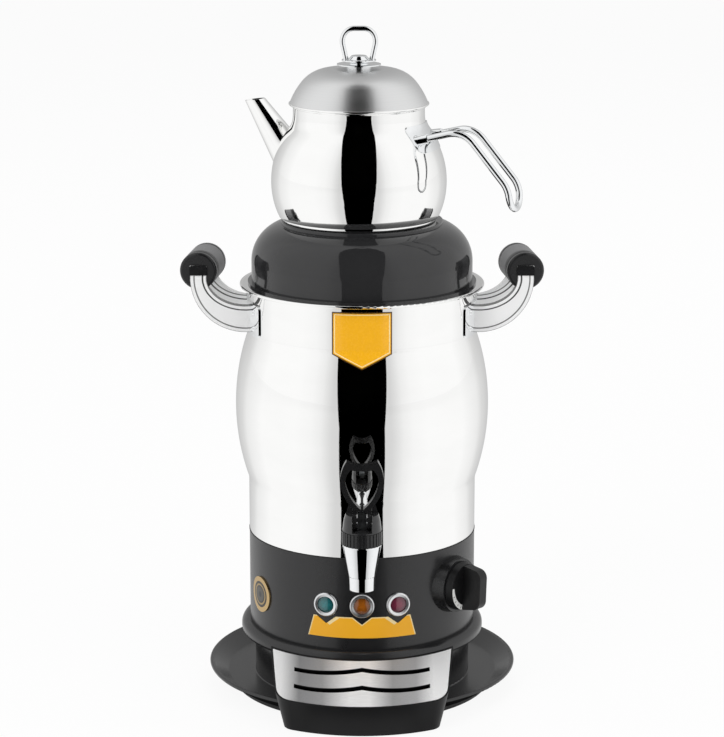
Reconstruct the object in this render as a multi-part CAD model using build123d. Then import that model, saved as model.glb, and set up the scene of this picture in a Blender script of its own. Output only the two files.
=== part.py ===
from build123d import *
import os
from math import asin, atan, cos, degrees, radians, sin, sqrt

os.makedirs("parts", exist_ok=True)

# An electric samovar: a water tank on a heated base, with a tap, a cover and a teapot on top.
# Millimetres, +Z up, the tank's axis is Z, the table is z = 0 and the tap faces -Y.

# ------------------------------------------------------------------ sizes of the base
foot_ring_spread = 13.0
foot_ring_width = 12.0
foot_ring_height = 5.5
saucer_spread = 33.4
saucer_floor_spread = 18.0
saucer_wall = 3.5
saucer_rise = 7.4
rim_bead_r = 1.6
neck_inset = 4.0
neck_height = 43.0
neck_fillet = 1.0
moulded_wall = 3.0
flange_width = 11.0
flange_thickness = 3.0
bottom_cover_thickness = 2.5
vent_r = 2.5
vent_count = 12
vent_circle_r = 45.0
collar_proud = 7.0
collar_drop = 8.5
collar_lap = 2.0
collar_round = 5.6
housing_r = 91.0
housing_height = 76.6
housing_round = 2.0
seal_thickness = 0.8
seal_proud = 0.3

# one kind of screw holds the bottom cover, the housing and the tank
screw_r = 2.0
screw_length = 8.0
screw_count = 4
screw_clearance = 0.2
boss_outer_r = 4.6

# clearances
fit_gap = 0.1
running_gap = 0.05
lift_gap = 0.3

# ------------------------------------------------------------------ sizes of the lamps and dial
lamp_height = 90.6
lamp_spread = 18.0
lamp_bezel_r = 9.75
lamp_bezel_proud = 2.4
lamp_window_r = 6.6
lamp_body_r = 8.0
lamp_body_length = 22.0
lamp_dome = 1.6
lamp_tab_length = 8.0
label_low = 64.0
label_high = 81.0
label_half_low = 42.3
label_half_high = 38.0
label_notch_depth = 6.0
label_notch_half = 7.5
label_thickness = 0.4
medallion_azimuth = -62.0
medallion_height = 84.6
medallion_r = 14.4
medallion_thickness = 1.2

thermostat_azimuth = 52.0
thermostat_height = 97.5
boss_r = 23.5
boss_front_r = 21.5
boss_height = 7.0
knob_r = 19.5
knob_height = 6.0
knob_bar_height = 16.5
knob_bar_width = 9.0
knob_bar_inset = 1.5
knob_bar_slant = 3.0
knob_bar_round = 7.0
knob_turn = 87.0
knob_gap = 0.5
thermostat_shaft_r = 3.0
thermostat_bush_r = 5.0
thermostat_nut_r = 8.0
thermostat_nut_height = 3.0
thermostat_width = 34.0
thermostat_depth = 22.0
thermostat_bulb_r = 3.2
thermostat_bulb_length = 60.0
thermostat_bulb_offset = 30.0

inlet_height = 84.0
inlet_width = 29.0
inlet_tall = 21.5
inlet_depth = 24.0
inlet_flange_width = 48.0
inlet_flange_tall = 27.0
inlet_flange_proud = 4.0
inlet_wall = 2.2
inlet_recess = 18.0
inlet_pin_spacing = 7.0
inlet_blade = (2.0, 4.0)
inlet_screw_spacing = 39.0
inlet_screw_r = 1.6
cutout_r = 8.0
cutout_height = 9.0
cutout_offset = 28.0

# ------------------------------------------------------------------ sizes of the tank
tank_belly_swell = 10.0
tank_belly_height = 232.0
tank_belly_arc = 180.0
tank_neck_inset = 1.0
tank_rim_height = 331.0
tank_wall = 1.0
tank_waist_round = 14.0
tank_shoulder_round = 10.0
tank_rim_overhang = 7.0
tank_rim_bead_r = 1.3
tank_floor_rise = 4.6
tank_floor_thickness = 1.2

badge_width = 46.0
badge_top_drop = 6.0
badge_side = 33.0
badge_vee = 11.0
badge_thickness = 0.5

element_ring_r = 50.0
element_tube_r = 4.0
element_height = 12.0
element_gap_angle = 34.0
element_leg_drop = 16.0
element_elbow = 0.3
gland_r = 6.0
gland_flange_r = 10.0
gland_flange_height = 3.0
gland_nut_height = 4.0
gasket_thickness = 1.5

# ------------------------------------------------------------------ sizes of the tap
tap_standoff = 45.0
tap_outlet_drop = 24.5
tap_outlet_r = 9.7
tap_line_drop = 14.0
tap_line_r = 10.4
tap_body_rise = 11.6
tap_body_r = 14.8
tap_passage_r = 5.5
tap_seat_height = 144.0
tap_chamber_r = 9.4
tap_neck_r = 12.0
tap_neck_height = 7.4
tap_thread_depth = 0.6
tap_shank_rise = 5.0
tap_shank_r = 6.4
tap_shank_bore_r = 4.0
tap_shoulder_r = 12.0
tap_shoulder_thickness = 3.0
tap_gasket_thickness = 2.0
tap_nut_r = 11.0
tap_nut_height = 5.0
tap_cup_r = 8.9
tap_cup_height = 6.0
tap_stem_r = 2.5
ring_nut_r = 15.4
ring_nut_height = 10.4
ring_nut_groove_count = 32
ring_nut_groove_r = 0.6
bonnet_flange_thickness = 1.6
bonnet_foot_r = 14.8
bonnet_belly_r = 13.9
bonnet_belly_rise = 8.5
bonnet_belly_round = 12.0
bonnet_top_r = 10.2
bonnet_height = 21.5
bonnet_cam_height = 1.0
bonnet_front_rise = 5.3
tap_spring_wire_r = 0.5
tap_spring_r = 5.5
tap_spring_turn_count = 5.0
lever_cam_r = 6.8
lever_cam_offset = 3.0
lever_cam_gap = 0.2
lever_width = 14.6
lever_slot = 7.8
lever_thickness = 7.0
lever_pin_r = 1.5
tongue_width = 7.2
tongue_thickness = 6.6
tongue_above_pin = 6.0
loop_foot_half = 7.2
loop_foot_rise = 9.8
loop_half = 16.5
loop_bar = 3.9
loop_widest = 29.5
loop_horn_half = 11.8
loop_horn_height = 46.7
loop_dip = 3.2
loop_top_bar = 5.2
loop_throat = 9.1

# ------------------------------------------------------------------ sizes of the side handles
grip_standoff = 36.0
grip_rise = 12.4
grip_r = 14.7
grip_length = 31.6
grip_toe_in = 6.9
grip_groove = 1.2
grip_rod_r = 3.0
cap_thickness = 5.6
cap_round = 2.0
arm_offset = 20.5
arm_thickness = 6.6
arm_sweep_r = 43.1
arm_foot_width = 21.0
arm_top_width = 13.0
arm_foot_drop = 36.1
arm_end_above = 4.5
arm_channel_depth = 0.9
arm_channel_edge = 3.2
foot_plate_reach = 28.2
foot_plate_round = 4.0
foot_plate_low_drop = 37.4
foot_plate_high_drop = 12.0
foot_plate_thickness = 1.6
rivet_r = 1.6
rivet_head_r = 2.4
rivet_head_height = 1.2
rivet_reach = 21.5
rivet_spread = 6.4

# ------------------------------------------------------------------ sizes of the dome cover
cover_inset = 2.4
cover_wall = 2.5
cover_skirt = 12.0
cover_flange_overhang = 3.0
cover_flange_thickness = 1.6
cover_rise = 48.4
cover_shoulder = 31.0
cover_seat_overlap = 3.0
cover_seat_height = 1.6
cover_hole_r = 44.0

# ------------------------------------------------------------------ sizes of the teapot
pot_turn = -22.0
pot_shift = -2.4
pot_disc_r = 61.0
pot_disc_thickness = 3.0
pot_disc_round = 1.5
pot_wall = 0.8
pot_foot_r = 62.8
pot_belly_r = 69.0
pot_belly_rise = 25.5
pot_shoulder_r = 64.3
pot_shoulder_rise = 52.5
pot_throat_r = 56.0
pot_throat_rise = 68.0
pot_neck_r = 51.6
pot_neck_rise = 82.0
pot_rim_rise = 88.3
pot_rim_bead_r = 1.1
lid_r = 54.3
lid_lip = 0.8
lid_rise = 26.9
lid_ball_r = 57.9
lid_crown_round = 28.0
lid_wall = 0.7
lid_skirt_depth = 7.0
lid_skirt_gap = 0.9
knob_seat_r = 9.6
knob_seat_height = 3.0
knob_washer_r = 17.2
knob_washer_thickness = 0.8
knob_neck_r = 7.2
knob_flange_r = 13.4
knob_flange_height = 2.4
knob_flange_edge = 0.9
knob_crown_r = 8.4
knob_crown_height = 3.2
knob_screw_r = 2.0
knob_nut_r = 6.0
knob_nut_height = 3.0
loop_wire_r = 2.0
loop_foot_reach = 9.6
loop_side_reach = 13.2
loop_side_height = 16.2
loop_top_height = 26.1
loop_corner_reach = 10.6
loop_side_bend = 10.0
loop_corner_bend = 9.0

spout_root_r = 14.9
spout_tip_r = 7.2
spout_wall = 0.8
spout_root_reach = 57.0
spout_root_rise = 41.5
spout_tip_reach = 89.5
spout_tip_rise = 87.5
spout_mouth_slope = 8.0
spout_overrun = 12.0
strainer_hole_r = 1.6
strainer_row_count = 5
strainer_pitch = 4.6

bracket_half = 23.0
bracket_low_rise = 55.5
bracket_high_rise = 75.5
bracket_thickness = 1.0
bracket_rivet_half = 6.0
bracket_rivet_rise = 64.0
handle_wire_r = 2.6
handle_root_reach = 54.0
handle_root_half = 17.4
handle_root_rise = 64.4
handle_half = 12.4
handle_top_reach = 91.0
handle_top_rise = 73.8
handle_knee_reach = 127.8
handle_knee_rise = 31.0
handle_end_reach = 130.3
handle_end_rise = 14.0
handle_top_round = 20.0
handle_knee_round = 22.0
ferrule_r = 5.0
ferrule_front_r = 3.7
ferrule_length = 10.0

# ------------------------------------------------------------------ sizes of the drip tray
tray_half_width = 60.6
tray_reach = 40.6
tray_front_arc = 119.0
tray_corner_round = 12.0
tray_draft = 13.5
tray_table_gap = 1.0
tray_wall = 2.5
tray_floor_thickness = 2.5
tray_rim_clearance = 0.3
tray_collar_gap = 0.3
tray_top_drop = 3.0
tray_fall = 21.0
tray_slope_run = 43.0
grille_thickness = 1.0
grille_lip = 1.2
slot_half_length = 53.0
slot_width = 4.4
slot_dip = 1.3
slot_end_rise = 8.5
slot_places = (106.0, 123.2)


# ------------------------------------------------------------------ helpers
def outline(corners):
    """A closed face from (x, y) corners, or (x, y, corner radius) where the corner is rounded."""
    face = make_face(Polyline(*[corner[:2] for corner in corners], close=True)).face()
    for corner in corners:
        if len(corner) == 3:
            vertex = face.vertices().sort_by_distance((corner[0], corner[1], 0))[0]
            face = face.fillet_2d(corner[2], [vertex])
    return face


def turned(face):
    """A solid of revolution about Z from a face drawn as (radius, height)."""
    return revolve(Plane.XZ * face, Axis.Z)


def rod(radius, low, high):
    """A round rod about Z between two heights."""
    return Pos(0, 0, (low + high) / 2) * Cylinder(radius, high - low)


def ring(outer, inner, low, high):
    """A flat ring about Z between two heights."""
    return rod(outer, low, high) - rod(inner, low, high)


def block(x_size, y_size, low, high):
    """A box centred on Z between two heights."""
    return Pos(0, 0, (low + high) / 2) * Box(x_size, y_size, high - low)


def hexagon(radius, low, high):
    """A hexagonal bar about Z, radius measured to its corners."""
    return Pos(0, 0, low) * extrude(RegularPolygon(radius, 6), high - low)


def cone(low_r, high_r, low, high):
    """A cone frustum about Z."""
    return Pos(0, 0, (low + high) / 2) * Cone(low_r, high_r, high - low)


def facing(azimuth, height):
    """A place on the Z axis whose own Z points outwards, at an angle from the front (-Y) towards +X."""
    turn = radians(azimuth)
    across = (cos(turn), sin(turn), 0)
    outwards = (sin(turn), -cos(turn), 0)
    return Plane(origin=(0, 0, height), x_dir=across, z_dir=outwards).location


def circle_of(count, radius, start=0.0):
    """Places evenly spaced round Z."""
    return [Rot(0, 0, start + 360 * step / count) * Pos(radius, 0, 0) for step in range(count)]


def group(parts):
    """Separate solids that share one node."""
    return Compound([part.solid() for part in parts])


def cut_all(part, tools):
    """The part with every tool cut out of it."""
    for tool in tools:
        part = part - tool
    return part


# ------------------------------------------------------------------ heights that follow
neck_r = housing_r - neck_inset
saucer_r = housing_r + saucer_spread
saucer_floor_r = housing_r + saucer_floor_spread
foot_ring_r = housing_r + foot_ring_spread
collar_r = housing_r + collar_proud
tank_foot_r = housing_r
tank_belly_r = tank_foot_r + tank_belly_swell
tank_neck_r = tank_foot_r - tank_neck_inset
tank_rim_r = tank_neck_r + tank_rim_overhang
saucer_low = foot_ring_height
saucer_floor = saucer_low + saucer_wall
neck_top = saucer_floor + neck_height
neck_inner_r = neck_r - moulded_wall
flange_inner_r = neck_inner_r - flange_width
flange_mid_r = neck_inner_r - flange_width / 2
cover_seat_z = saucer_low + bottom_cover_thickness
collar_low = neck_top - collar_drop
collar_high = neck_top + collar_lap
housing_top = neck_top + housing_height
housing_inner_r = housing_r - moulded_wall
tank_low = housing_top + seal_thickness
tank_floor_low = tank_low + tank_floor_rise
tank_floor_top = tank_floor_low + tank_floor_thickness
rim_centre_r = saucer_r - rim_bead_r
rim_centre_z = saucer_floor + saucer_rise


# ------------------------------------------------------------------ the base
def make_foot_ring():
    return ring(foot_ring_r, foot_ring_r - foot_ring_width, 0, foot_ring_height)


def make_base_foot():
    """Saucer, neck, the ledge that takes the bottom cover and the flange that takes the housing."""
    body = outline([
        (neck_inner_r, saucer_low),
        (saucer_floor_r, saucer_low),
        (rim_centre_r, rim_centre_z - rim_bead_r),
        (rim_centre_r, rim_centre_z + rim_bead_r),
        (saucer_floor_r, saucer_floor),
        (neck_r, saucer_floor, neck_fillet),
        (neck_r, neck_top),
        (flange_inner_r, neck_top),
        (flange_inner_r, neck_top - flange_thickness),
        (neck_inner_r, neck_top - flange_thickness),
        (neck_inner_r, cover_seat_z + flange_thickness),
        (flange_inner_r, cover_seat_z + flange_thickness),
        (flange_inner_r, cover_seat_z),
        (neck_inner_r, cover_seat_z),
    ])
    foot = turned(body + Pos(rim_centre_r, rim_centre_z) * Circle(rim_bead_r))
    flange_holes = [place * rod(screw_r + screw_clearance, neck_top - 2 * flange_thickness, neck_top + 1)
                    for place in housing_screw_places()]
    ledge_holes = [place * rod(screw_r + running_gap, saucer_low, cover_seat_z + 2 * flange_thickness)
                   for place in cover_screw_places()]
    return cut_all(foot, flange_holes + ledge_holes)


def housing_screw_places():
    return circle_of(screw_count, flange_mid_r, 45)


def cover_screw_places():
    return circle_of(screw_count, flange_mid_r)


def tank_screw_places():
    return circle_of(screw_count, flange_mid_r, 20)


def make_bottom_cover():
    plate = rod(neck_inner_r - lift_gap, saucer_low, cover_seat_z)
    holes = [place * rod(screw_r + screw_clearance, saucer_low, cover_seat_z)
             for place in cover_screw_places()]
    vents = [place * rod(vent_r, saucer_low, cover_seat_z) for place in circle_of(vent_count, vent_circle_r)]
    return cut_all(plate, holes + vents)


def make_case_screws():
    """Every screw is the same and points up: bottom cover, housing flange, tank flange."""
    screw = rod(1.8 * screw_r, -screw_r, 0) + rod(screw_r, 0, screw_length)
    cover = [place * Pos(0, 0, saucer_low) * screw for place in cover_screw_places()]
    housing = [place * Pos(0, 0, neck_top - flange_thickness) * screw for place in housing_screw_places()]
    tank = [place * Pos(0, 0, housing_top - flange_thickness) * screw for place in tank_screw_places()]
    return group(cover + housing + tank)


def make_base_collar():
    lower_r = neck_r + fit_gap
    upper_r = housing_r + fit_gap
    return turned(outline([
        (lower_r, collar_low),
        (collar_r, collar_low, collar_round / 2),
        (collar_r, collar_high, collar_round),
        (upper_r, collar_high),
        (upper_r, neck_top),
        (lower_r, neck_top),
    ]))


def lamp_places():
    return [facing(step * lamp_spread, lamp_height) for step in (-1, 0, 1)]


thermostat_place = facing(thermostat_azimuth, thermostat_height)
inlet_place = facing(180, inlet_height)
housing_solid = rod(housing_r, neck_top, housing_top)


def make_base_housing():
    """The drum under the tank, with a flange at each end and the openings for lamps, dial and inlet."""
    drum = turned(outline([
        (flange_inner_r, neck_top),
        (housing_r, neck_top, housing_round),
        (housing_r, housing_top),
        (flange_inner_r, housing_top),
        (flange_inner_r, housing_top - flange_thickness),
        (housing_inner_r, housing_top - flange_thickness),
        (housing_inner_r, neck_top + flange_thickness),
        (flange_inner_r, neck_top + flange_thickness),
    ]))
    outside = housing_r + 1
    inside = housing_inner_r - moulded_wall
    holes = [place * rod(lamp_body_r + screw_clearance, inside, outside) for place in lamp_places()]
    holes += [thermostat_place * rod(thermostat_bush_r + screw_clearance, inside, outside)]
    holes += [inlet_place * block(inlet_width + 2 * fit_gap, inlet_tall + 2 * fit_gap, inside, outside)]
    inlet_screw_hole = rod(inlet_screw_r + fit_gap, inside, outside)
    holes += [inlet_place * Pos(side * inlet_screw_spacing / 2, 0) * inlet_screw_hole for side in (-1, 1)]
    holes += [place * rod(screw_r + running_gap, neck_top - 1, neck_top + 2 * flange_thickness)
              for place in housing_screw_places()]
    holes += [place * rod(screw_r + screw_clearance, housing_top - 2 * flange_thickness, housing_top + 1)
              for place in tank_screw_places()]
    return cut_all(drum, holes)


# ------------------------------------------------------------------ lamps, label and medallion
def make_lamp_bezels():
    """Chromed rings whose backs follow the drum."""
    face = housing_r + lamp_bezel_proud
    profile = outline([
        (lamp_window_r + running_gap, housing_inner_r),
        (lamp_bezel_r, housing_inner_r),
        (lamp_bezel_r, face, lamp_bezel_proud / 2),
        (lamp_window_r + running_gap, face - lamp_bezel_proud / 3),
    ])
    bezel = turned(profile)
    return group([place * bezel - housing_solid for place in lamp_places()])


def make_lamp_lens(place):
    """A domed lens on a flange that the bezel traps."""
    seat = housing_inner_r + moulded_wall * 0.8
    rim = housing_r + lamp_bezel_proud * 0.3
    dome_r = (lamp_window_r ** 2 + lamp_dome ** 2) / (2 * lamp_dome)
    dome = Pos(0, 0, rim + lamp_dome - dome_r) * Sphere(dome_r) & rod(lamp_window_r, rim, rim + lamp_dome + 1)
    lens = rod(lamp_body_r, housing_inner_r, seat) + rod(lamp_window_r, seat, rim) + dome
    return place * lens


def make_lamp_bodies():
    back = housing_inner_r - lamp_body_length
    tab = block(0.8, 5.0, back - lamp_tab_length, back + 1)
    tabs = [Pos(side * lamp_body_r / 2, 0) * tab for side in (-1, 1)]
    body = rod(lamp_body_r, back, housing_inner_r) + tabs
    return group([place * body for place in lamp_places()])


def make_label():
    """A thin plate bent round the drum, with a notch under each lamp."""
    lamp_x = housing_r * sin(radians(lamp_spread))
    corners = [(-label_half_low, label_low), (label_half_low, label_low), (label_half_high, label_high)]
    for centre in (lamp_x, 0, -lamp_x):
        corners += [
            (centre + label_notch_half, label_high),
            (centre, label_high - label_notch_depth),
            (centre - label_notch_half, label_high),
        ]
    corners += [(-label_half_high, label_high)]
    front = extrude(Plane.XZ * outline(corners), 2 * housing_r)
    band = ring(housing_r + running_gap + label_thickness, housing_r + running_gap, label_low, label_high)
    return band & front


def make_medallion():
    disc = facing(medallion_azimuth, medallion_height) * rod(medallion_r, housing_inner_r, 2 * housing_r)
    band = ring(housing_r + running_gap + medallion_thickness, housing_r + running_gap,
                medallion_height - 2 * medallion_r, medallion_height + 2 * medallion_r)
    return band & disc


# ------------------------------------------------------------------ the thermostat
boss_face = housing_r + boss_height
knob_low = boss_face + knob_gap
knob_face = knob_low + knob_height
bush_end = housing_r + thermostat_nut_height + 1
thermostat_front = housing_inner_r - 4.0


def make_thermostat_boss():
    """A flared surround, hollow behind for the nut."""
    flare = cone(boss_r, boss_front_r, housing_inner_r - 1, boss_face)
    hollow = rod(thermostat_nut_r + 2, housing_inner_r - 1, housing_r + thermostat_nut_height + 2)
    passage = rod(thermostat_shaft_r + 2, housing_inner_r - 1, boss_face)
    return thermostat_place * (flare - hollow - passage) - housing_solid


def make_thermostat_body():
    back = thermostat_front - thermostat_depth
    case = block(thermostat_width, thermostat_width * 0.8, back, thermostat_front)
    bush = rod(thermostat_bush_r, thermostat_front, bush_end)
    bore = rod(thermostat_shaft_r + running_gap, back + 4, bush_end)
    return thermostat_place * (case + bush - bore)


def make_thermostat_nut():
    nut = hexagon(thermostat_nut_r, housing_r, housing_r + thermostat_nut_height)
    bore = rod(thermostat_bush_r + running_gap, housing_r, housing_r + thermostat_nut_height)
    return thermostat_place * (nut - bore)


def make_thermostat_shaft():
    return thermostat_place * rod(thermostat_shaft_r, thermostat_front - thermostat_depth + 5, knob_face)


def make_thermostat_knob():
    """A round skirt with a raised finger bar, bored for the shaft."""
    skirt = cone(knob_r, knob_r - 1, knob_low, knob_face)
    bar_half = knob_r - knob_bar_inset
    bar_face = outline([
        (-bar_half, 0),
        (bar_half, 0),
        (bar_half - knob_bar_slant, knob_bar_height, knob_bar_round),
        (knob_bar_slant - bar_half, knob_bar_height, knob_bar_round),
    ])
    bar = Pos(0, knob_bar_width / 2, knob_face) * extrude(Plane.XZ * bar_face, knob_bar_width)
    bore = rod(thermostat_shaft_r + running_gap, knob_low, knob_face)
    return thermostat_place * Rot(0, 0, knob_turn) * (skirt + bar - bore)


def make_thermostat_bulb():
    axis_z = tank_floor_low - thermostat_bulb_r - running_gap
    bulb = Rot(0, 90, 0) * Cylinder(thermostat_bulb_r, thermostat_bulb_length)
    return Pos(0, thermostat_bulb_offset, axis_z) * bulb


def make_thermal_cutout():
    high = tank_floor_low - running_gap
    can = rod(cutout_r, high - cutout_height, high)
    flange = rod(1.4 * cutout_r, high - 1, high)
    return Pos(0, -cutout_offset, 0) * (can + flange)


# ------------------------------------------------------------------ the mains inlet
def inlet_pin_places():
    return [Pos(-inlet_pin_spacing, -2), Pos(inlet_pin_spacing, -2), Pos(0, 2)]


def make_power_inlet():
    """A recessed appliance inlet with a flange that follows the drum."""
    face = housing_r + inlet_flange_proud
    back = face - inlet_depth
    flange = block(inlet_flange_width, inlet_flange_tall, housing_inner_r - 1, face)
    body = block(inlet_width, inlet_tall, back, face)
    recess = block(inlet_width - 2 * inlet_wall, inlet_tall - 2 * inlet_wall, face - inlet_recess, face)
    screws = [Pos(side * inlet_screw_spacing / 2, 0) * rod(inlet_screw_r + fit_gap, housing_inner_r - 1, face)
              for side in (-1, 1)]
    slots = [inlet_place * place * block(*inlet_blade, back, face) for place in inlet_pin_places()]
    surround = inlet_place * cut_all(flange, screws) - housing_solid
    return cut_all(surround + inlet_place * body - inlet_place * recess, slots)


def make_inlet_pins():
    face = housing_r + inlet_flange_proud
    back = face - inlet_depth
    blade = block(*inlet_blade, back - 6, face - 5)
    return group([inlet_place * place * blade for place in inlet_pin_places()])


def make_inlet_screws():
    face = housing_r + inlet_flange_proud
    head = rod(1.9 * inlet_screw_r, face, face + inlet_screw_r)
    screw = rod(inlet_screw_r, housing_inner_r - 6, face) + head
    return group([inlet_place * Pos(side * inlet_screw_spacing / 2, 0) * screw for side in (-1, 1)])


# ------------------------------------------------------------------ the tank
def belly_crossing(radius, inset):
    """How far above and below the belly's middle its arc has come in to this radius."""
    arc = tank_belly_arc - inset
    inwards = arc - (tank_belly_r - inset - radius)
    return sqrt(arc ** 2 - inwards ** 2)


def tank_solid(inset, low, high):
    """The tank's full shape, shrunk by an inset or grown by a negative one, between two heights."""
    foot = tank_foot_r - inset
    neck = tank_neck_r - inset
    waist_z = tank_belly_height - belly_crossing(foot, inset)
    shoulder_z = tank_belly_height + belly_crossing(neck, inset)
    sides = Curve() + [
        Line((0, low), (foot, low)),
        Line((foot, low), (foot, waist_z)),
        ThreePointArc((foot, waist_z), (tank_belly_r - inset, tank_belly_height), (neck, shoulder_z)),
        Line((neck, shoulder_z), (neck, high)),
        Line((neck, high), (0, high)),
        Line((0, high), (0, low)),
    ]
    face = make_face(sides).face()
    waist = face.vertices().sort_by_distance((foot, waist_z, 0))[0]
    face = face.fillet_2d(tank_waist_round + inset, [waist])
    shoulder = face.vertices().sort_by_distance((neck, shoulder_z, 0))[0]
    face = face.fillet_2d(tank_shoulder_round + inset, [shoulder])
    return turned(face)


tap_reach = tank_foot_r + tap_standoff
tap_shank_height = tap_seat_height + tap_shank_rise
grip_reach = tank_neck_r + grip_standoff
grip_height = tank_rim_height + grip_rise
foot_plate_low = tank_rim_height - foot_plate_low_drop
foot_plate_high = tank_rim_height - foot_plate_high_drop
tank_outside = tank_solid(0, tank_low, tank_rim_height)
tank_inside = tank_solid(tank_wall, tank_low, tank_rim_height)


def make_seal_ring():
    outer = max(housing_r, tank_foot_r) + seal_proud
    return ring(outer, flange_mid_r + boss_outer_r + 1, housing_top, tank_low)


def rivet_places():
    """One place for each rivet of the handles: its Z points out through a foot plate."""
    middle = (foot_plate_low + foot_plate_high) / 2
    return [facing(side + end * rivet_reach, middle + step * rivet_spread)
            for side in (-90, 90) for end in (-1, 1) for step in (-1, 1)]


def make_tank_shell():
    """The drawn steel wall with its turned-out, beaded rim."""
    wall = tank_outside - tank_inside
    bead_r = tank_rim_r - tank_rim_bead_r
    flange = ring(bead_r, tank_neck_r - tank_wall, tank_rim_height - tank_wall, tank_rim_height)
    bead = turned(Pos(bead_r, tank_rim_height - tank_wall) * Circle(tank_rim_bead_r))
    shell = wall + flange + bead
    tap_hole = facing(0, tap_shank_height) * rod(tap_shank_r + fit_gap, tank_foot_r / 2, tap_reach)
    rivet_hole = rod(rivet_r + running_gap, tank_neck_r / 2, grip_reach)
    return cut_all(shell, [tap_hole] + [place * rivet_hole for place in rivet_places()])


def leg_places():
    half = element_gap_angle / 2
    return [Rot(0, 0, 90 + side * half) * Pos(element_ring_r, 0, 0) for side in (-1, 1)]


def make_tank_floor():
    """A pan whose edge turns down against the wall and stands on the seal."""
    edge = tank_foot_r - tank_wall - fit_gap
    pan = turned(outline([
        (0, tank_floor_low),
        (edge - tank_floor_thickness, tank_floor_low),
        (edge - tank_floor_thickness, tank_low),
        (edge, tank_low),
        (edge, tank_floor_top, tank_floor_thickness),
        (0, tank_floor_top),
    ]))
    boss = ring(boss_outer_r, screw_r + running_gap, housing_top, tank_floor_low)
    for place in tank_screw_places():
        pan = pan + place * boss
    gland_hole = rod(gland_r + fit_gap, tank_low, tank_floor_top + 1)
    return cut_all(pan, [place * gland_hole for place in leg_places()])


element_axis_z = tank_floor_top + element_height


def make_heating_element():
    """A ring of sheathed tube; each end turns down through the floor in a flanged gland."""
    low = tank_floor_low - element_leg_drop
    flange_low = tank_floor_top + gasket_thickness
    section = Plane.XZ * Pos(element_ring_r, element_axis_z) * Circle(element_tube_r)
    loop = Rot(0, 0, 90 + element_gap_angle / 2) * revolve(section, Axis.Z, 360 - element_gap_angle)
    leg = rod(element_tube_r, low, element_axis_z) \
        + Pos(0, 0, element_axis_z) * Sphere(element_tube_r + element_elbow) \
        + rod(gland_flange_r, flange_low, flange_low + gland_flange_height) \
        + rod(gland_r, tank_floor_low - gland_nut_height - 3, flange_low)
    return loop + [place * leg for place in leg_places()]


def make_element_gaskets():
    washer = ring(gland_flange_r, gland_r + fit_gap, tank_floor_top, tank_floor_top + gasket_thickness)
    return group([place * washer for place in leg_places()])


def make_element_nuts():
    low = tank_floor_low - gland_nut_height
    nut = hexagon(1.6 * gland_r, low, tank_floor_low) - rod(gland_r + running_gap, low, tank_floor_low)
    return group([place * nut for place in leg_places()])


def make_badge():
    """A shield-shaped plate that lies on the neck and shoulder."""
    half = badge_width / 2
    badge_top = tank_rim_height - badge_top_drop
    badge_corner = badge_top - badge_side
    badge_point = badge_corner - badge_vee
    shield = outline([
        (-half, badge_top),
        (-half, badge_corner),
        (0, badge_point),
        (half, badge_corner),
        (half, badge_top),
    ])
    front = extrude(Plane.XZ * shield, 2 * tank_neck_r)
    low = badge_point - badge_width
    skin = tank_solid(-running_gap - badge_thickness, tank_low, tank_rim_height) \
        - tank_solid(-running_gap, tank_low, tank_rim_height)
    return skin & front & rod(tank_rim_r + badge_width, low, tank_rim_height)


# ------------------------------------------------------------------ the tap
tap_outlet_height = tap_seat_height - tap_outlet_drop
tap_line_height = tap_seat_height - tap_line_drop
tap_body_top = tap_seat_height + tap_body_rise
tap_place = Pos(0, -tap_reach, 0)
neck_rim_z = tap_body_top + tap_neck_height
ring_nut_low = tap_body_top + fit_gap
ring_nut_high = ring_nut_low + ring_nut_height
bonnet_flange_r = tap_neck_r + tap_thread_depth
bonnet_flange_high = neck_rim_z + bonnet_flange_thickness
bonnet_foot_z = ring_nut_high + fit_gap
cam_face_z = bonnet_foot_z + bonnet_cam_height
pin_z = cam_face_z + lever_cam_gap + lever_cam_r
bonnet_top_z = bonnet_foot_z + bonnet_height
shoulder_back = tank_foot_r + tap_gasket_thickness
cup_low = tap_seat_height + fit_gap
cup_high = cup_low + tap_cup_height


def along_shank(radius, near, far):
    """A rod on the shank's axis, between two distances in front of the tank's axis."""
    return facing(0, tap_shank_height) * rod(radius, near, far)


def make_tap_body():
    """Spout, valve chamber and threaded shank in one casting."""
    spout = tap_place * turned(outline([
        (0, tap_outlet_height),
        (tap_outlet_r, tap_outlet_height),
        (tap_line_r - 0.3, tap_line_height),
        (tap_line_r, tap_line_height + 0.5),
        (tap_body_r, tap_body_top - 1),
        (tap_body_r, tap_body_top),
        (tap_neck_r, tap_body_top),
        (tap_neck_r, neck_rim_z),
        (0, neck_rim_z),
    ]))
    shank_end = tank_foot_r - tank_wall - tap_gasket_thickness - tap_nut_height - 2
    shank = along_shank(tap_shank_r, shank_end, tap_reach)
    shoulder = along_shank(tap_shoulder_r, shoulder_back, shoulder_back + tap_shoulder_thickness)
    passage = tap_place * rod(tap_passage_r, tap_outlet_height, tap_seat_height)
    chamber = tap_place * rod(tap_chamber_r, tap_seat_height, neck_rim_z)
    feed = along_shank(tap_shank_bore_r, shank_end, tap_reach)
    return spout + shank + shoulder - passage - chamber - feed


def make_tap_gaskets():
    """Sealing rings outside and inside the tank wall, each cut to its curve."""
    hole = along_shank(tap_shank_r + fit_gap, 0, tap_reach)
    outer_low = tank_foot_r - tap_gasket_thickness
    outer = along_shank(tap_shoulder_r, outer_low, shoulder_back) - tank_outside - hole
    inner_low = tank_foot_r - tank_wall - tap_gasket_thickness
    inner = (along_shank(tap_nut_r, inner_low, tank_foot_r) & tank_inside) - hole
    return group([outer, inner])


def make_tap_nut():
    high = tank_foot_r - tank_wall - tap_gasket_thickness
    low = high - tap_nut_height
    nut = hexagon(tap_nut_r, low, high) - rod(tap_shank_r + running_gap, low, high)
    return facing(0, tap_shank_height) * nut


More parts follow.
